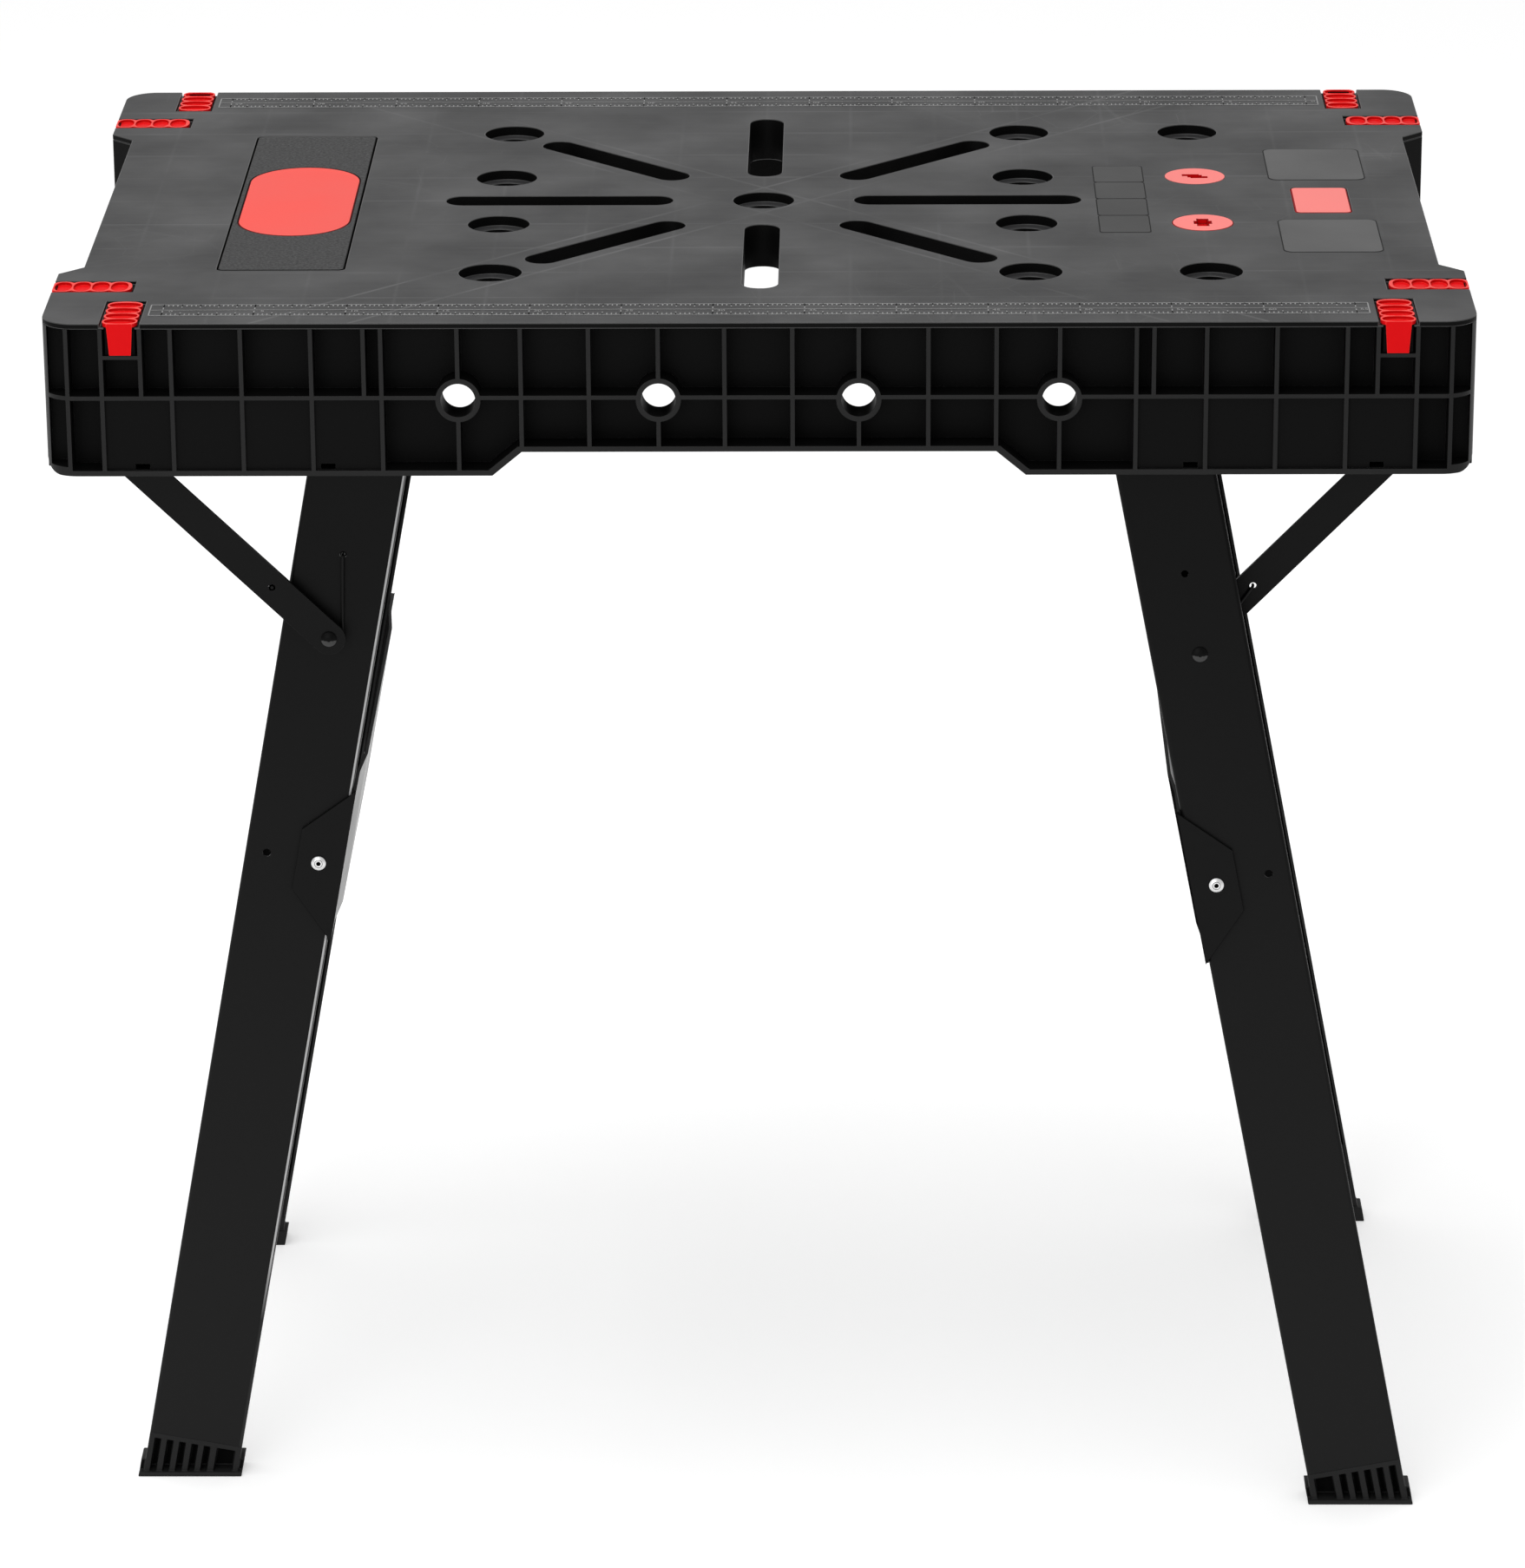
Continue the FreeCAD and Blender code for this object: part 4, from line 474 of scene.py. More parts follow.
def deck_finish():
    """The work surface: cloudy black plastic with sink lines, scuffs and scratches on its grain."""
    finish, tree, shader = new_finish("deck_plastic", specular=0.31)
    surface = place_group(tree, grain, Scale=900)
    flow = place_group(tree, streaks, Fineness=80)
    hairlines = place_group(tree, streaks, Fineness=330)
    wear = place_group(tree, marks, Scale=7, Amount=0.28)
    scratch = place_group(tree, marks, Scale=31, Amount=0.4)
    lines = place_group(tree, sinks)
    colour = mix_colour(tree, flow.outputs["Tone"], DECK["dark"], DECK["light"])
    for mask, over in ((spread(tree, hairlines.outputs["Tone"], 0.0, 0.5), "brushed"),
                       (spread(tree, surface.outputs["Tone"], 0.0, 0.4), "cloud"),
                       (lines.outputs["Mask"], "line"), (wear.outputs["Mask"], "line"),
                       (scratch.outputs["Mask"], "scratch")):
        colour = mix_colour(tree, mask, colour, DECK[over])
    wire_up(tree, shader, colour, spread(tree, surface.outputs["Tone"], 0.58, 0.42),
            surface.outputs["Height"], 0.3, 0.12 * MM)
    return finish


def lid_finish():
    """The tray's lid has a coarse leathery grain that shows in its colour too."""
    finish, tree, shader = new_finish("lid_plastic", specular=0.28)
    height = place_group(tree, grain, Scale=620).outputs["Height"]
    colour = mix_colour(tree, spread(tree, height, 0.0, 1.0), LID_DARK, LID_LIGHT)
    wire_up(tree, shader, colour, spread(tree, height, 0.62, 0.48), height, 0.8, 0.2 * MM)
    return finish


finishes = {name: grained_finish(name, *recipe) for name, recipe in GRAINED.items()}
finishes.update({name: rising_finish(name, *recipe) for name, recipe in RISING.items()})
finishes["deck_plastic"] = deck_finish()
finishes["lid_plastic"] = lid_finish()
print("finishes:", list(finishes))

# %% [markdown]
# ## Softening the solids
# A solid from CAD has knife edges, and nothing moulded or pressed does. A copy of each node's mesh
# is merged, its flat triangles are dissolved, and its sharp edges are bevelled by a fraction of a
# millimetre. The bevel's faces get a finish of their own: on most pieces a little brighter, a
# painted highlight along the edge, and on some darker, painted shade where the edge meets a gap.
# Faces that the light treats differently are painted over: a painted highlight on a bend, painted
# shade in a hollow. The copy stands for the node, so the solid itself stays as it was packed.

# %% Dress the nodes
SHARP = math.radians(32)
SMOOTH = math.radians(50)
FLAT = math.radians(0.4)
WELD = 0.01 * MM
BEVEL_STEPS = 2
BED_TOP, BED_FLOOR = 0.5 * MM, 2.5 * MM
BROAD_AREA = 1500 * MM * MM
BEND_AREA = 40 * MM * MM
FOOT_SLOT = 3.5 * MM
RIVET_DOME = 1.3 * MM
DOME_RINGS, DOME_RING = 4, 0.8 * MM


def solo(piece):
    """Makes one object the only selected and active one."""
    bpy.ops.object.select_all(action="DESELECT")
    piece.select_set(True)
    bpy.context.view_layer.objects.active = piece


def set_mode(mode):
    bpy.ops.object.mode_set(mode=mode)


def edit_all():
    """Opens the active object for editing, with all of it selected."""
    set_mode("EDIT")
    bpy.ops.mesh.select_all(action="SELECT")


def edit_faces(piece, chosen):
    """Opens a piece for editing, with its chosen faces selected."""
    set_mode("EDIT")
    bpy.ops.mesh.select_mode(type="FACE")
    bpy.ops.mesh.select_all(action="DESELECT")
    set_mode("OBJECT")
    for polygon in piece.data.polygons:
        polygon.select = chosen(polygon)
    set_mode("EDIT")


def modify(piece, kind, **settings):
    """Gives a piece a modifier with these settings, and applies it."""
    solo(piece)
    modifier = piece.modifiers.new(kind, kind)
    for setting, value in settings.items():
        setattr(modifier, setting, value)
    bpy.ops.object.modifier_apply(modifier=modifier.name)


def soften(piece, width, material=1):
    """Bevels the sharp edges, and lets the large flat faces decide the shading next to them."""
    modify(piece, "BEVEL", width=width, segments=BEVEL_STEPS, limit_method="ANGLE",
           angle_limit=SHARP, material=material, use_clamp_overlap=True)
    bpy.ops.object.shade_smooth_by_angle(angle=SMOOTH)
    modify(piece, "WEIGHTED_NORMAL", weight=100, keep_sharp=True)


def linked_copy(node, mesh):
    """A new object with a copy of a mesh, named after the node that it dresses."""
    piece = bpy.data.objects.new(f"{node}_dressed", mesh.copy())
    bpy.context.scene.collection.objects.link(piece)
    solo(piece)
    return piece


def give_finishes(piece, *names):
    for name in names:
        piece.data.materials.append(finishes[name])


def merged_copy(node, *names):
    """A copy of a node's mesh as whole flat faces, with its finishes in order."""
    piece = linked_copy(node, nodes[node].data)
    piece.data.materials.clear()
    give_finishes(piece, *names)
    edit_all()
    bpy.ops.mesh.remove_doubles(threshold=WELD)
    bpy.ops.mesh.dissolve_limited(angle_limit=FLAT)
    set_mode("OBJECT")
    return piece


def paint(piece, index, chosen=None):
    """Gives the chosen faces, or else all of them, the finish at an index."""
    for polygon in piece.data.polygons:
        if chosen is None or chosen(polygon):
            polygon.material_index = index


def paint_over(piece, name, chosen):
    """Adds one more finish to a piece, for its chosen faces."""
    give_finishes(piece, name)
    paint(piece, len(piece.data.materials) - 1, chosen)


def stand_for(piece, node):
    """The piece moves with the node's body and shows in its place."""
    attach(piece, nodes[node]["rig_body"])
    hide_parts(node)


def dress(node, finish, edge, width, special=None, chosen=None):
    """A softened copy of a node that shows in its place. Chosen faces may get a special finish."""
    piece = merged_copy(node, finish, edge, *([special] if special else []))
    if special:
        paint(piece, 2, chosen)
    soften(piece, width)
    stand_for(piece, node)
    return piece


def depths_of(node):
    """How far the inner and the outer side of a node are from the middle of the bench."""
    return sorted(abs(corner.y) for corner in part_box(node))


def axis_of(node):
    """Where a pair of pins along Y has its axis, seen from the front."""
    low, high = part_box(node)
    return Vector(((low.x + high.x) / 2, 0, (low.z + high.z) / 2))


def is_wall(polygon):
    return abs(polygon.normal.z) < 0.5


def is_deck_shade(polygon):
    """The deck's edges, the walls of its holes and the beds below the inserts, painted as shade."""
    depth = TOP - polygon.center.z
    return is_wall(polygon) or (polygon.normal.z > 0.9 and BED_TOP < depth < BED_FLOOR)


def is_broad_side(polygon):
    """The large faces of a cross panel, which the front view sees at a very shallow angle."""
    return abs(polygon.normal.y) < 0.5 and polygon.area > BROAD_AREA


def is_leg_side(polygon):
    """The flanges of a leg and the outer part of its bends."""
    return abs(polygon.normal.x) > 0.6


def is_right_flange(polygon):
    """The right flange of a leg and its bend."""
    return polygon.normal.x > 0.3


def is_lit_bend(polygon):
    """The long bend on the right of a leg, which gets a painted highlight."""
    return polygon.area > BEND_AREA and is_right_flange(polygon) and abs(polygon.normal.y) > 0.68


def dome_rivets(node):
    """A pair of rivets with domed heads, painted paler below as light from the floor."""
    piece = merged_copy(node, "rivet_steel", "rivet_steel", "dome_painted_light")
    axis = axis_of(node)
    face = max(abs(vertex.co.y) for vertex in piece.data.vertices) - 0.01 * MM
    edit_faces(piece, lambda polygon: abs(polygon.center.y) > face)
    for ring in range(DOME_RINGS):
        bpy.ops.mesh.inset(thickness=DOME_RING)
    set_mode("OBJECT")
    crown = [vertex for vertex in piece.data.vertices if abs(vertex.co.y) > face]
    spans = [math.hypot(vertex.co.x - axis.x, vertex.co.z - axis.z) for vertex in crown]
    for vertex, span in zip(crown, spans):
        vertex.co.y -= math.copysign(RIVET_DOME * (span / max(spans)) ** 2, vertex.co.y)
    # The dome's lower faces are painted paler, as the floor's light.
    paint(piece, 2, lambda polygon: abs(polygon.center.y) > face - RIVET_DOME
          and polygon.normal.z < -0.08)
    soften(piece, 0.15 * MM, -1)
    stand_for(piece, node)


def dress_leg(node, front, way):
    """A leg, painted black within as shade, and with its own coat on the right bend."""
    opening = depths_of(node)[0]
    leg = dress(node, "leg_coat", "side_coat", 0.25 * MM, "side_coat", is_leg_side)
    # The inside of the channel is painted black as shade; its open rim is painted paler low down
    # and darker higher up, as painted light and shade.
    paint_over(leg, "painted_shade_black", lambda polygon: front * polygon.normal.y < -0.9)
    paint_over(leg, "rim_coat", lambda polygon: abs(polygon.center.y) < opening + 1 * MM)
    # The left pair's bend gets a painted highlight, the right pair's a dull dark coat.
    if way < 0:
        paint_over(leg, "bend_painted_highlight", is_lit_bend)
    else:
        paint_over(leg, "bend_shade", is_right_flange)


def dress_foot(node, front):
    """A foot, whose slots between the ribs of its outer face are painted black as shade."""
    outer = depths_of(node)[1]
    dress(node, "foot_plastic", "rib_front", 0.6 * MM, "painted_shade_black",
          lambda polygon: front * polygon.normal.y > 0.5
          and abs(polygon.center.y) < outer - FOOT_SLOT)


dress("deck", "deck_plastic", "edge_plastic", 0.5 * MM, "rib_plastic", is_deck_shade)
# The lid's edges and walls, the oval's rim and the pad's rim are painted dark, as shade in the gaps
# round them.
dress("storage_lid", "lid_plastic", "rib_plastic", 0.5 * MM, "rib_plastic", is_wall)
dress("lid_inlay", "oval_red", "key_red", 0.6 * MM)
dress("rubber_pad", "rubber_red", "rim_red", 0.9 * MM)
for side, way in SIDES.items():
    dress(f"{side}_end_wall", "rib_plastic", "edge_plastic", 0.45 * MM)
    # A cross panel's bevelled edges are painted black, as shade round its tabs.
    panel = dress(f"{side}_cross_panel", "steel_coat", "painted_shade_black", 0.4 * MM,
                  "panel_coat", is_broad_side)
    if way > 0:
        paint_over(panel, "panel_shade",
                   lambda polygon: is_broad_side(polygon) and polygon.normal.x < 0)
    dome_rivets(f"{side}_brace_rivets")
    dress(f"{side}_spacers", "dark_steel", "dark_steel", 0.3 * MM)
    for name in ("guide_pins", "brace_pivots", "bracket_screws"):
        dress(f"{side}_{name}", "zinc", "zinc", 0.5 * MM)
    for end, front in ENDS.items():
        dress(f"{end}_{side}_bracket", "steel_coat", "steel_edge", 0.3 * MM)
        # The left braces' edges get a painted highlight; the right braces' edges stay dark.
        brace_edge = "steel_edge" if way < 0 else "side_coat"
        dress(f"{end}_{side}_brace", "steel_coat", brace_edge, 0.3 * MM)
        dress_leg(f"{end}_{side}_leg", front, way)
        dress_foot(f"{end}_{side}_foot", front)

# %% [markdown]
# ## Ribbed aprons
# The long sides are open cells between thin ribs. In the photograph the cells next to the arch
# follow its slope, and the rounded corners are hollow too, with the middle rib running round them.
# The first outer panel stands forward like its neighbours, and small snap windows are sunk in two
# of them. Each filler or cutter is a cube whose corners are moved, and a Boolean modifier adds it
# or takes it away. The front of the ribs is painted paler than the cells, as painted light where
# light reaches it.

# %% Open the cells of the aprons
OUTER_FACE = depths_of("front_apron")[1]
CELL_FLOOR = OUTER_FACE - 16 * MM
CORNER_CELLS = [((377.15, 684.95), (387, 723.5)), ((377.15, 644.5), (387, 682.65))]
ARCH_CELL = {"top": (130.44, 162.35), "bottom": (147.6, 162.35), "rise": (642.5, 656.8)}
PANEL_CELL = ((164.65, 642.5), (182, 656.8))
PANEL_FILL = ((205.8, 642.2), (242.3, 683.0))
PANEL_FACE = OUTER_FACE - 2 * MM
SNAP_WINDOWS = [((x - 4, 642.6), (x + 4, 646.0)) for x in (235.2, 336.5)]
CORNER_CENTRE = Vector((372, 232)) * MM
CORNER_RADIUS = 18 * MM


def face_outwards():
    """Turns all faces of the active object to the outside, and ends its editing."""
    edit_all()
    bpy.ops.mesh.normals_make_consistent(inside=False)
    set_mode("OBJECT")


def block(name, corners, near, far):
    """A cube reshaped to four corners in X and Z, and to a depth along Y."""
    piece = add_shape(name, bpy.ops.mesh.primitive_cube_add, size=2)
    for vertex in piece.data.vertices:
        x, z = corners[vertex.co.x > 0, vertex.co.z > 0]
        vertex.co = (x, far if vertex.co.y > 0 else near, z)
    face_outwards()
    return piece


def trapezoid(lower, upper, low, high):
    """Corners in X and Z from the two ends of the lower and the upper edge, and their heights."""
    return {(right, up): ((upper if up else lower)[right], high if up else low)
            for right in (False, True) for up in (False, True)}


def rectangle(left, right, low, high):
    return trapezoid((left, right), (left, right), low, high)


def side_box(low, high, side):
    """A rectangle between two points in millimetres, on one side of the bench."""
    return rectangle(side * low[0] * MM, side * high[0] * MM, low[1] * MM, high[1] * MM)


def join_all(pieces, name):
    """Joins several objects into the first one."""
    solo(pieces[0])
    for piece in pieces:
        piece.select_set(True)
    bpy.ops.object.join()
    pieces[0].name = name
    return pieces[0]


def combine(piece, other, operation):
    """Adds or takes away another piece, which is then deleted."""
    modify(piece, "BOOLEAN", operation=operation, solver="EXACT", object=other)
    bpy.data.objects.remove(other)


def cell_cutters(front):
    """All the extra cells of one apron, as one cutter."""
    near, far = front * (OUTER_FACE + 1 * MM), front * CELL_FLOOR
    shapes = []
    for side in SIDES.values():
        shapes += [side_box(*cell, side) for cell in CORNER_CELLS + [PANEL_CELL] + SNAP_WINDOWS]
        lower, upper = ([side * x * MM for x in ARCH_CELL[edge]] for edge in ("bottom", "top"))
        shapes.append(trapezoid(lower, upper, *(z * MM for z in ARCH_CELL["rise"])))
    return join_all([block("cutter", corners, near, far) for corners in shapes], "cell_cutters")


def panel_fills(front):
    """The first outer panel on each side, which stands as far forward as its neighbours."""
    near, far = front * PANEL_FACE, front * (CELL_FLOOR - 1 * MM)
    fills = [block("fill", side_box(*PANEL_FILL, side), near, far) for side in SIDES.values()]
    return join_all(fills, "panel_fills")


def is_rib_front(polygon):
    """A face on the outer plane of an apron, or on its rounded corner."""
    place = Vector((abs(polygon.center.x), abs(polygon.center.y))) - CORNER_CENTRE
    on_corner = min(place) > 0 and abs(place.length - CORNER_RADIUS) < 0.2 * MM
    return is_wall(polygon) and (on_corner or place.y > CORNER_RADIUS - 0.01 * MM)


for end, front in ENDS.items():
    node = f"{end}_apron"
    apron = merged_copy(node, "rib_plastic", "edge_plastic", "rib_front")
    combine(apron, panel_fills(front), "UNION")
    combine(apron, cell_cutters(front), "DIFFERENCE")
    paint(apron, 0)
    # The fronts of the ribs are painted paler, as painted light.
    paint(apron, 2, is_rib_front)
    soften(apron, 0.35 * MM)
    stand_for(apron, node)
    print(node, "faces:", len(apron.data.polygons))

# %% [markdown]
# ## Red wear inserts
# Each insert is a strip of four deep oval cells with thin walls, and a tongue that hangs down the
# edge of the top. Its outline is scalloped, so a dark line of the bed, painted shade on the deck,
# shows round it. A circle's points are moved to that outline and extruded, the tongue is added,
# and the cells are cut out. The walls inside the cells are painted a darker red as shade. A thin
# black backing closes the bed behind the tongue: a sheet of painted shade. The insert is modelled
# lying along +Y from the edge inwards, and each copy is turned to its place.

# %% Mould the wear inserts
INSERT_HALF = 9.6 * MM
INSERT_WALL = 0.95 * MM
INSERT_DEPTH = 2.1 * MM
CELL_DEPTH = 1.7 * MM
CELL_STARTS = 5.6 * MM
CELL_PITCH = 10.4 * MM
CELL_CENTRES = [CELL_STARTS + count * CELL_PITCH for count in range(4)]
CELL_STEPS = 32
OUTLINE_STEPS = 64
OUTER_REACH = 7.0 * MM
INNER_REACH = 4.75 * MM
OVALNESS = 2.4
TONGUE = {"start": 0.3 * MM, "top": 14.2 * MM, "tip": 11.8 * MM, "drop": 17.9 * MM,
          "thickness": 2.1 * MM}
BACKING = {"half": 8.1 * MM, "start": 1 * MM, "near": 0.6 * MM, "far": 0.1 * MM}


def oval_half(half, reach, offset):
    """Half the width of an oval cell at an offset from its middle."""
    share = min(abs(offset) / reach, 1)
    return half * (1 - share ** OVALNESS) ** (1 / OVALNESS)


def strip_half(along):
    """Half the width of the scalloped strip at a distance from the edge."""
    return max(oval_half(INSERT_HALF, OUTER_REACH, along - centre) for centre in CELL_CENTRES)


def extrude_up(height):
    """Extrudes what is selected in edit mode."""
    bpy.ops.mesh.extrude_region_move(TRANSFORM_OT_translate={"value": (0, 0, height)})


def prism(name, points, low, high):
    """A flat outline made from a circle's points, extruded upwards."""
    piece = add_shape(name, bpy.ops.mesh.primitive_circle_add, vertices=len(points),
                      fill_type="NGON")
    for vertex, (x, y) in zip(piece.data.vertices, points):
        vertex.co = (x, y, low)
    edit_all()
    extrude_up(high - low)
    face_outwards()
    return piece


def round_turns(steps):
    """The angles of a full turn in equal steps."""
    return [math.tau * step / steps for step in range(steps)]


def oval_points(centre):
    """The outline of one cell, a circle swollen towards its corners."""
    def swell(share, reach):
        return math.copysign(abs(share) ** (2 / OVALNESS), share) * reach

    return [(swell(math.cos(turn), INSERT_HALF - INSERT_WALL),
             centre + swell(math.sin(turn), INNER_REACH)) for turn in round_turns(CELL_STEPS)]


def in_cell(polygon):
    """True for the walls and floors inside the oval cells."""
    half, reach = INSERT_HALF - INSERT_WALL + 0.2 * MM, INNER_REACH + 0.2 * MM
    x, y = abs(polygon.center.x), polygon.center.y
    return any(abs(y - centre) < reach and x < oval_half(half, reach, y - centre) + 0.05 * MM
               for centre in CELL_CENTRES)


def mould_insert():
    """The insert in its own frame: its edge on the X axis, its top face at zero height."""
    last = CELL_CENTRES[-1] + OUTER_REACH
    stations = [last * step / OUTLINE_STEPS for step in range(OUTLINE_STEPS)]
    right = [(strip_half(along), along) for along in stations]
    left = [(-x, y) for x, y in reversed(right)]
    strip = prism("wear_insert", right + [(0, last)] + left, -INSERT_DEPTH, 0)
    tip, top, thick = TONGUE["tip"] / 2, TONGUE["top"] / 2, TONGUE["thickness"]
    shape = trapezoid((-tip, tip), (-top, top), -TONGUE["drop"], -TONGUE["start"])
    combine(strip, block("tongue", shape, 0, thick), "UNION")
    cells = [prism("cell", oval_points(centre), -CELL_DEPTH, 1 * MM) for centre in CELL_CENTRES]
    combine(strip, join_all(cells, "cells"), "DIFFERENCE")
    give_finishes(strip, "red_plastic", "red_edge", "red_shade")
    paint(strip, 0)
    paint(strip, 1, lambda polygon: polygon.normal.z > 0.9 and polygon.center.z > -0.05 * MM)
    # The walls inside the cells are painted a darker red, as shade.
    paint(strip, 2, lambda polygon: is_wall(polygon) and in_cell(polygon))
    soften(strip, 0.14 * MM)
    # A black sheet behind the tongue, painted shade in the bed.
    half = BACKING["half"]
    backing = block("backing", rectangle(-half, half, -TONGUE["drop"], -BACKING["start"]),
                    thick - BACKING["near"], thick - BACKING["far"])
    give_finishes(backing, "painted_shade_black")
    return join_all([strip, backing], "wear_insert")


def settle(piece, place, turn):
    """Turns a piece and moves it to its place, in its mesh."""
    solo(piece)
    piece.location = place
    piece.rotation_euler = turn
    bpy.ops.object.transform_apply(location=True, rotation=True)


def seat_insert(model, node, edge_point, turn):
    """A copy of the insert at its place on the edge of the top."""
    piece = linked_copy(node, model.data)
    settle(piece, edge_point, (0, 0, turn))
    stand_for(piece, node)


model = mould_insert()
for end, front in ENDS.items():
    for side, way in SIDES.items():
        node = f"{end}_{side}_edge_insert"
        low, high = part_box(node)
        seat_insert(model, node, ((low.x + high.x) / 2, low.y if front < 0 else high.y, TOP),
                    0 if front < 0 else math.pi)
        node = f"{end}_{side}_end_insert"
        low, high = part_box(node)
        seat_insert(model, node, (low.x if way < 0 else high.x, (low.y + high.y) / 2, TOP),
                    way * math.pi / 2)
print("insert faces:", len(model.data.polygons))
bpy.data.objects.remove(model)

# %% [markdown]
# ## Keys of the plugs
# The two round plugs are turned with a tool, one by a slot and one by a cross. In the photograph
# their keys are short and broad. So the long narrow key is filled with a disc, and broader bars are
# cut. The key is painted a darker red as shade in its recess, and a darker rim, painted shade,
# shows where the plug meets the deck.

# %% Broaden the keys
KEY_DEPTH = 3 * MM
KEY_BARS = {  # left, right, near and far edge of each bar, in millimetres from the plug's axis
    "slotted_plug": [(-7.3, 2.5, 0.2, 4.2), (-4.2, 4.2, -2.6, 2.6), (-2.5, 7.3, -4.2, -0.2)],
    "cross_plug": [(-4.7, 4.7, -2.8, 2.8), (-3.0, 3.0, -7.2, 7.2)],
}
KEY_REACH = 12 * MM
KEY_FACES = (1 * MM, 4 * MM)
FILL_RADIUS = 9.2 * MM
FILL_STEPS = 48


def is_key(polygon, x, y):
    """The floor and the walls of the key in a plug whose axis is at x and y."""
    depth = TOP - polygon.center.z
    from_axis = math.hypot(polygon.center.x - x, polygon.center.y - y)
    return KEY_FACES[0] < depth < KEY_FACES[1] and from_axis < KEY_REACH


def cut_key(plug, x, y, bar):
    """Cuts one bar of a key into a plug whose axis is at x and y."""
    left, right, near, far = (edge * MM for edge in bar)
    shape = rectangle(x + left, x + right, TOP - KEY_DEPTH, TOP + KEY_DEPTH)
    combine(plug, block("key", shape, y + near, y + far), "DIFFERENCE")


for node, bars in KEY_BARS.items():
    low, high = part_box(node)
    x, y = (low.x + high.x) / 2, (low.y + high.y) / 2
    plug = merged_copy(node, "rubber_red", "rim_red", "red_shade")
    disc = [(x + FILL_RADIUS * math.cos(turn), y + FILL_RADIUS * math.sin(turn))
            for turn in round_turns(FILL_STEPS)]
    combine(plug, prism("fill", disc, TOP - KEY_DEPTH - 0.2 * MM, TOP), "UNION")
    for bar in bars:
        cut_key(plug, x, y, bar)
    paint(plug, 0)
    # The key is painted a darker red, as shade in its recess.
    paint(plug, 2, lambda polygon: is_key(polygon, x, y))
    soften(plug, 0.6 * MM)
    stand_for(plug, node)
print("plugs:", list(KEY_BARS))

# %% [markdown]
# ## Wound springs
# A torsion spring sits round each brace rivet: two turns of wire, one arm hooked into the leg and
# one into the brace. The frame's solid is one stiff shape, but a real spring winds up as the leg
# folds. So it is made in two lengths of wire that overlap by part of a turn. The coil and its first
# arm ride on the leg, the other arm rides on the brace, and the overlap slides along the coil. Each
# length is a smooth path with a round section, which is how wire is best drawn. A short black plug
# of painted shade fills the hook's hole on the outer piece of each pair: the brace on the left, the
# leg on the right.

# %% Wind the springs
WIRE = 1.9 * MM
ARM_WIRE = WIRE * 0.94
COIL = 7.2 * MM
ARM_COIL = COIL * 0.97
COIL_RISE = 2.9 * MM
COIL_STEPS, ARM_STEPS = 56, 12
LEG_ARM = 48 * MM
BRACE_ARM = 43.4 * MM
HOOK_BEND = 2 * MM
OVERLAP = math.radians(65)
PLAY = 0.1 * MM
SHADE_PLUG = 3.9 * MM
SHADE_PLUG_LENGTH = 1 * MM
SHADE_PLUG_SEATS = {  # the body, the length of wire, and how deep the black plug of painted shade sits below its tip
    "left": ("braces", 1, 0.4 * MM), "right": ("legs", 0, -0.1 * MM)}


def wire_along(name, points, thickness, finish):
    """A length of round wire that follows five or more points smoothly."""
    path = add_shape(name, bpy.ops.curve.primitive_nurbs_path_add)
    line = path.data.splines[0]
    line.points.add(len(points) - len(line.points))
    for point, place in zip(line.points, points):
        point.co = (*place, 1)
    line.order_u = 3
    line.use_endpoint_u = True
    line.resolution_u = 4
    path.data.bevel_depth = thickness / 2
    path.data.bevel_resolution = 3
    path.data.use_fill_caps = True
    solo(path)
    bpy.ops.object.convert(target="MESH")
    piece = bpy.context.object
    give_finishes(piece, finish)
    bpy.ops.object.shade_smooth_by_angle(angle=SMOOTH)
    return piece


def wind_spring(end, side):
    """The points of one spring's two lengths of wire, in the frame's own coordinates."""
    front, way = ENDS[end], SIDES[side]
    out = -way
    centre = axis_of(f"{side}_brace_rivets")
    up = (axis_of(f"{side}_guide_pins") - centre).normalized()
    towards = (axis_of(f"{side}_brace_pivots") - centre).normalized()
    brace_near, brace_far = depths_of(f"{end}_{side}_brace")[::out]
    leg_tip = depths_of(f"{end}_{side}_spring")[::out][0]
    brace_y = brace_near - out * (WIRE / 2 + PLAY)
    leg_y = brace_y - out * COIL_RISE
    enter = math.atan2(up.z, way * up.x) + math.acos(COIL / LEG_ARM)
    leave = math.atan2(towards.z, way * towards.x) - math.acos(COIL / BRACE_ARM)
    turn = (leave - enter) % (2 * math.pi) + 2 * math.pi

    def at(angle, radius, depth):
        return Vector((centre.x + way * radius * math.cos(angle), front * depth,
                       centre.z + radius * math.sin(angle)))

    def coil_depth(share):
        return leg_y + out * COIL_RISE * share * share * (3 - 2 * share)

    def hooked(direction, reach, depth, tip):
        """The bent end of an arm, from the tip inwards."""
        hole = centre + direction * reach
        bend = Vector((hole.x, front * depth, hole.z))
        return [Vector((hole.x, front * tip, hole.z)), bend, bend - direction * HOOK_BEND]

    coil = [at(enter + turn * step / COIL_STEPS, COIL, coil_depth(step / COIL_STEPS))
            for step in range(COIL_STEPS + 1)]
    arc = [at(leave - OVERLAP * step / ARM_STEPS, ARM_COIL, brace_y)
           for step in range(ARM_STEPS + 1)]
    return (hooked(up, LEG_ARM, leg_y, leg_tip) + coil,
            hooked(towards, BRACE_ARM, brace_y, brace_far) + arc)


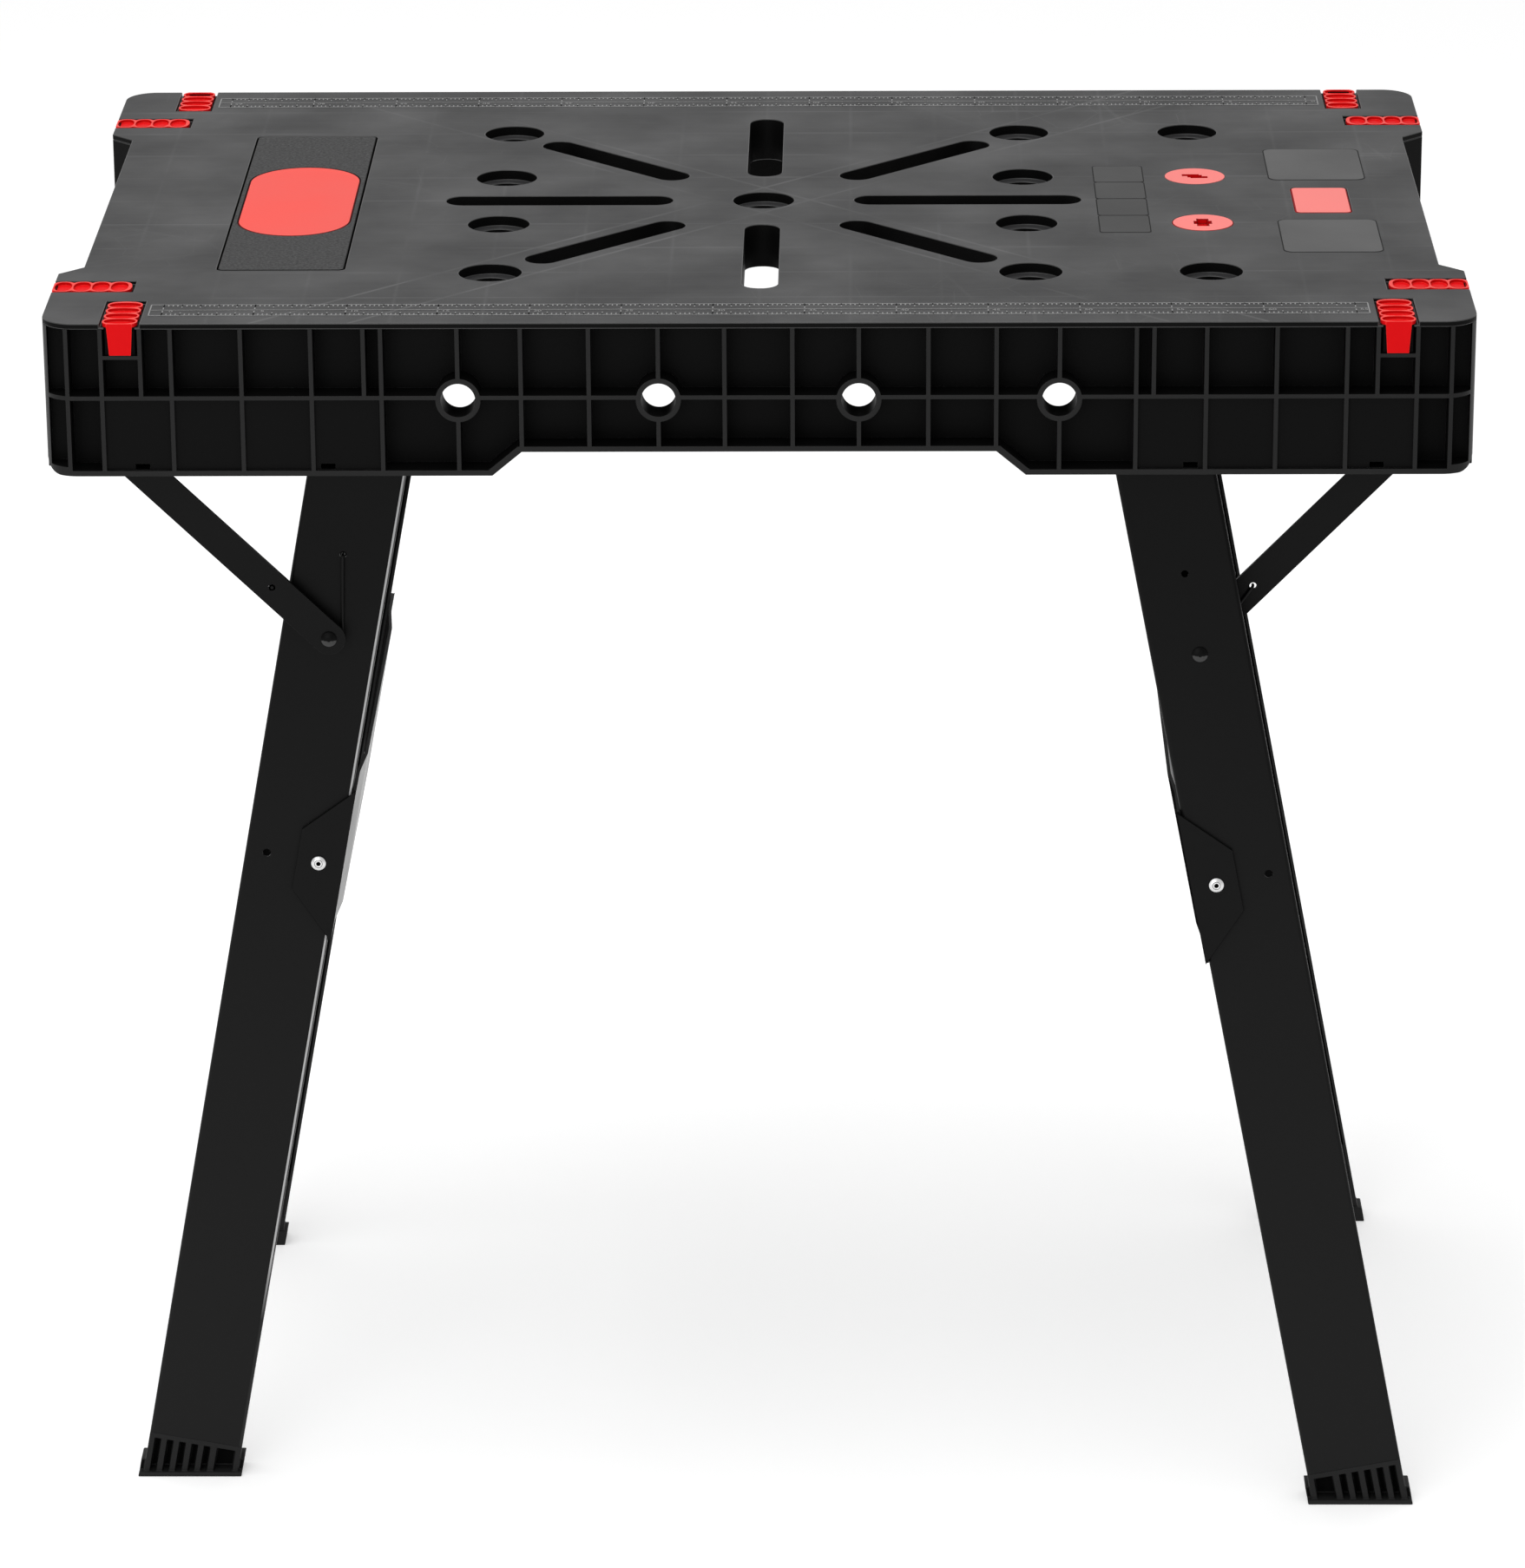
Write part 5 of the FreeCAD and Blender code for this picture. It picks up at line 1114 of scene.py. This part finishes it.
for end in ENDS:
    for side in SIDES:
        first, second = wind_spring(end, side)
        coil = wire_along(f"{end}_{side}_spring_coil", first, WIRE, "spring_steel")
        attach(coil, f"{side}_legs")
        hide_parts(f"{end}_{side}_spring")
        arm = wire_along(f"{end}_{side}_spring_arm", second, ARM_WIRE, "spring_steel")
        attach(arm, f"{side}_braces")
        # A short black plug fills the hook's hole, as painted shade.
        body, wire, sunk = SHADE_PLUG_SEATS[side]
        tip, hole = (first, second)[wire][:2]
        inwards = (hole - tip).normalized()
        seat = [tip + inwards * (sunk + step / 4 * SHADE_PLUG_LENGTH) for step in range(5)]
        shade_plug = wire_along(f"{end}_{side}_spring_shade_plug", seat, SHADE_PLUG, "hole_painted_shade")
        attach(shade_plug, f"{side}_{body}")

# %% [markdown]
# ## Pop rivets
# Four bright blind rivets hold the cross panels' tabs on the legs. A blind rivet has a low dome
# with a ring round the hole that its pin broke off in. It starts as a short cylinder. Its outer
# cap is inset and raised for the dome, inset again for a ring, pushed in for the hole, and
# bevelled. The ring and the hole are painted black as shade.

# %% Set the pop rivets
HEAD = 8.4 * MM
LIFT = 1.8 * MM
DOME_STEPS = ((0.1, 0.3), (0.12, 0.2))  # share of the head to inset, share of the lift to raise
RING_INSET, HOLE_INSET, HOLE_DEPTH = 0.035, 0.095, 0.75
HOLE_SHARE, RING_SHARES = 0.15, (0.245, 0.28)


def is_rivet_dark(polygon):
    """The hole of a pop rivet and the ring round it, painted black as shade."""
    share = polygon.center.xy.length / HEAD
    return share < HOLE_SHARE or RING_SHARES[0] < share < RING_SHARES[1]


def pop_rivet(name, place, front):
    """A domed ring whose hole is painted black as shade, facing the front or the rear."""
    piece = add_shape(name, bpy.ops.mesh.primitive_cylinder_add, vertices=40, radius=HEAD / 2,
                      depth=LIFT * 0.5, location=(0, 0, LIFT * 0.25))
    bpy.ops.object.transform_apply(location=True)
    edit_faces(piece, lambda polygon: polygon.normal.z > 0.9)
    for inset, rise in DOME_STEPS:
        bpy.ops.mesh.inset(thickness=HEAD * inset)
        bpy.ops.transform.translate(value=(0, 0, LIFT * rise))
    bpy.ops.mesh.inset(thickness=HEAD * RING_INSET)
    bpy.ops.mesh.inset(thickness=HEAD * HOLE_INSET)
    extrude_up(-LIFT * HOLE_DEPTH)
    set_mode("OBJECT")
    give_finishes(piece, "zinc", "painted_shade_black")
    paint(piece, 1, is_rivet_dark)
    soften(piece, 0.12 * MM, -1)
    settle(piece, place, (math.radians(-90 * front), 0, 0))
    return piece


for side in SIDES:
    spot = axis_of(f"{side}_panel_rivets")
    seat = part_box(f"{side}_panel_rivets")[1].y - LIFT
    for end, front in ENDS.items():
        rivet = pop_rivet(f"{end}_{side}_pop_rivet", (spot.x, front * seat, spot.z), front)
        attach(rivet, f"{side}_legs")
    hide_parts(f"{side}_panel_rivets")

# %% [markdown]
# ## Rulers and bare plates
# A long ruler is moulded along the front edge of the top and another along the rear. Each has a
# thin frame line, ticks and plain numbers, all of the same plastic and only a hair proud of the
# surface. One tick is modelled and repeated by an Array modifier. The number is text made into a
# mesh. At the right end of the top, smooth plates stand in shallow grooves. They are left bare.

# %% Mould the rulers
RULER_HALF = 332 * MM
RULER_NEAR = 213.5 * MM
RULER_FAR = 234 * MM
RULER_DEPTH = RULER_FAR - RULER_NEAR
RAISE = 0.18 * MM
LINE = 0.7 * MM
FIRST_TICK = -325 * MM
SCALE_LENGTH = 650 * MM
TICKS = {2.5 * MM: 0.16, 10 * MM: 0.26, 50 * MM: 0.42}  # spacing, share of the ruler's depth
NUMBER_STEP = 50 * MM
NUMBER_COUNT = 14
NUMBER_HEIGHT = 4.6 * MM
NUMBER_ASIDE = 4.5 * MM
NUMBER_DOWN = 0.13


def ruler_bar(x, y, width, depth):
    """A thin raised bar on the top, with its upper edges eased."""
    piece = add_shape("bar", bpy.ops.mesh.primitive_cube_add, size=1,
                      location=(x, y, TOP + RAISE / 2))
    piece.scale = (width, depth, RAISE)
    bpy.ops.object.transform_apply(location=True, scale=True)
    give_finishes(piece, "ruler_plastic")
    modify(piece, "BEVEL", width=RAISE * 0.3, segments=1)
    return piece


def row_along(piece, step, count):
    """Repeats a piece along X."""
    modify(piece, "ARRAY", use_relative_offset=False, use_constant_offset=True,
           constant_offset_displace=(step, 0, 0), count=count)
    return piece


def number_mesh(text, x, y, turn):
    """A plain number, made a thin mesh that lies on the top."""
    letters = add_shape("number", bpy.ops.object.text_add)
    letters.data.body = text
    letters.data.size = NUMBER_HEIGHT
    letters.data.align_x = "CENTER"
    letters.data.align_y = "CENTER"
    letters.data.extrude = RAISE / 2
    solo(letters)
    bpy.ops.object.convert(target="MESH")
    piece = bpy.context.object
    piece.data.materials.clear()
    give_finishes(piece, "ruler_plastic")
    settle(piece, (x, y, TOP + RAISE / 2), (0, 0, turn))
    return piece


def mould_ruler(name, front):
    """The frame, the ticks and the numbers of one ruler."""
    middle = front * (RULER_NEAR + RULER_FAR) / 2
    pieces = [ruler_bar(0, front * edge, 2 * RULER_HALF, LINE) for edge in (RULER_NEAR, RULER_FAR)]
    pieces.append(ruler_bar(0, middle, 2 * RULER_HALF, LINE * 0.7))
    pieces += [ruler_bar(way * RULER_HALF, middle, LINE, RULER_DEPTH) for way in (-1, 1)]
    for step, reach in TICKS.items():
        count = round(SCALE_LENGTH / step) + 1
        for way in (-1, 1):
            edge = middle + way * RULER_DEPTH * (0.5 - reach / 2)
            tick = ruler_bar(FIRST_TICK, edge, LINE, RULER_DEPTH * reach)
            pieces.append(row_along(tick, step, count))
    turn = 0 if front < 0 else math.pi
    for count in range(NUMBER_COUNT):
        x = FIRST_TICK + count * NUMBER_STEP + NUMBER_ASIDE
        shown = 5 * (count if front < 0 else NUMBER_COUNT - 1 - count)
        pieces.append(number_mesh(str(shown), x, middle - RULER_DEPTH * NUMBER_DOWN, turn))
    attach(join_all(pieces, name), "top")


for end, front in ENDS.items():
    mould_ruler(f"{end}_ruler", front)

# %% Fit the bare plates
PLATES = {  # the two corners and the radius of the corners, in millimetres
    "rear_plate": ((293, 41.5), (348, 109.5), 5),
    "front_plate": ((293, -112), (348, -45), 5),
}
SMALL_FIRST, SMALL_PITCH, SMALL_INSET, SMALL_LENGTH = -71, 35.9, 0.6, 35.2
SMALL_LEFT, SMALL_RIGHT, SMALL_CORNER = 191.5, 219.5, 2
for count in range(4):
    start = SMALL_FIRST + count * SMALL_PITCH
    PLATES[f"small_plate_{count}"] = ((SMALL_LEFT, start + SMALL_INSET),
                                      (SMALL_RIGHT, start + SMALL_LENGTH), SMALL_CORNER)
PLATE_GAP = 0.7 * MM
GROOVE_LIFT, PLATE_LIFT = 0.06 * MM, 0.16 * MM
CORNER_STEPS = 6


def rounded_plate(name, low, high, corner, lift, finish, edge):
    """A thin plate with round corners that stands on the top."""
    centre = ((low[0] + high[0]) / 2, (low[1] + high[1]) / 2, TOP)
    piece = add_shape(name, bpy.ops.mesh.primitive_plane_add, size=1, location=centre)
    piece.scale = (high[0] - low[0], high[1] - low[1], 1)
    bpy.ops.object.transform_apply(location=True, scale=True)
    edit_all()
    bpy.ops.mesh.bevel(offset=corner, segments=CORNER_STEPS, affect="VERTICES")
    bpy.ops.mesh.select_all(action="SELECT")
    extrude_up(lift)
    face_outwards()
    give_finishes(piece, finish, edge)
    soften(piece, lift * 0.4)
    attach(piece, "top")


for name, (low, high, corner) in PLATES.items():
    low, high = ([edge * MM for edge in point] for point in (low, high))
    rounded_plate(f"{name}_groove", [edge - PLATE_GAP for edge in low],
                  [edge + PLATE_GAP for edge in high], corner * MM, GROOVE_LIFT,
                  "groove_plastic", "groove_plastic")
    finish = "small_plate" if name.startswith("small") else "plate_plastic"
    rounded_plate(name, low, high, corner * MM, PLATE_LIFT, finish, "edge_plastic")
print("plates:", list(PLATES))
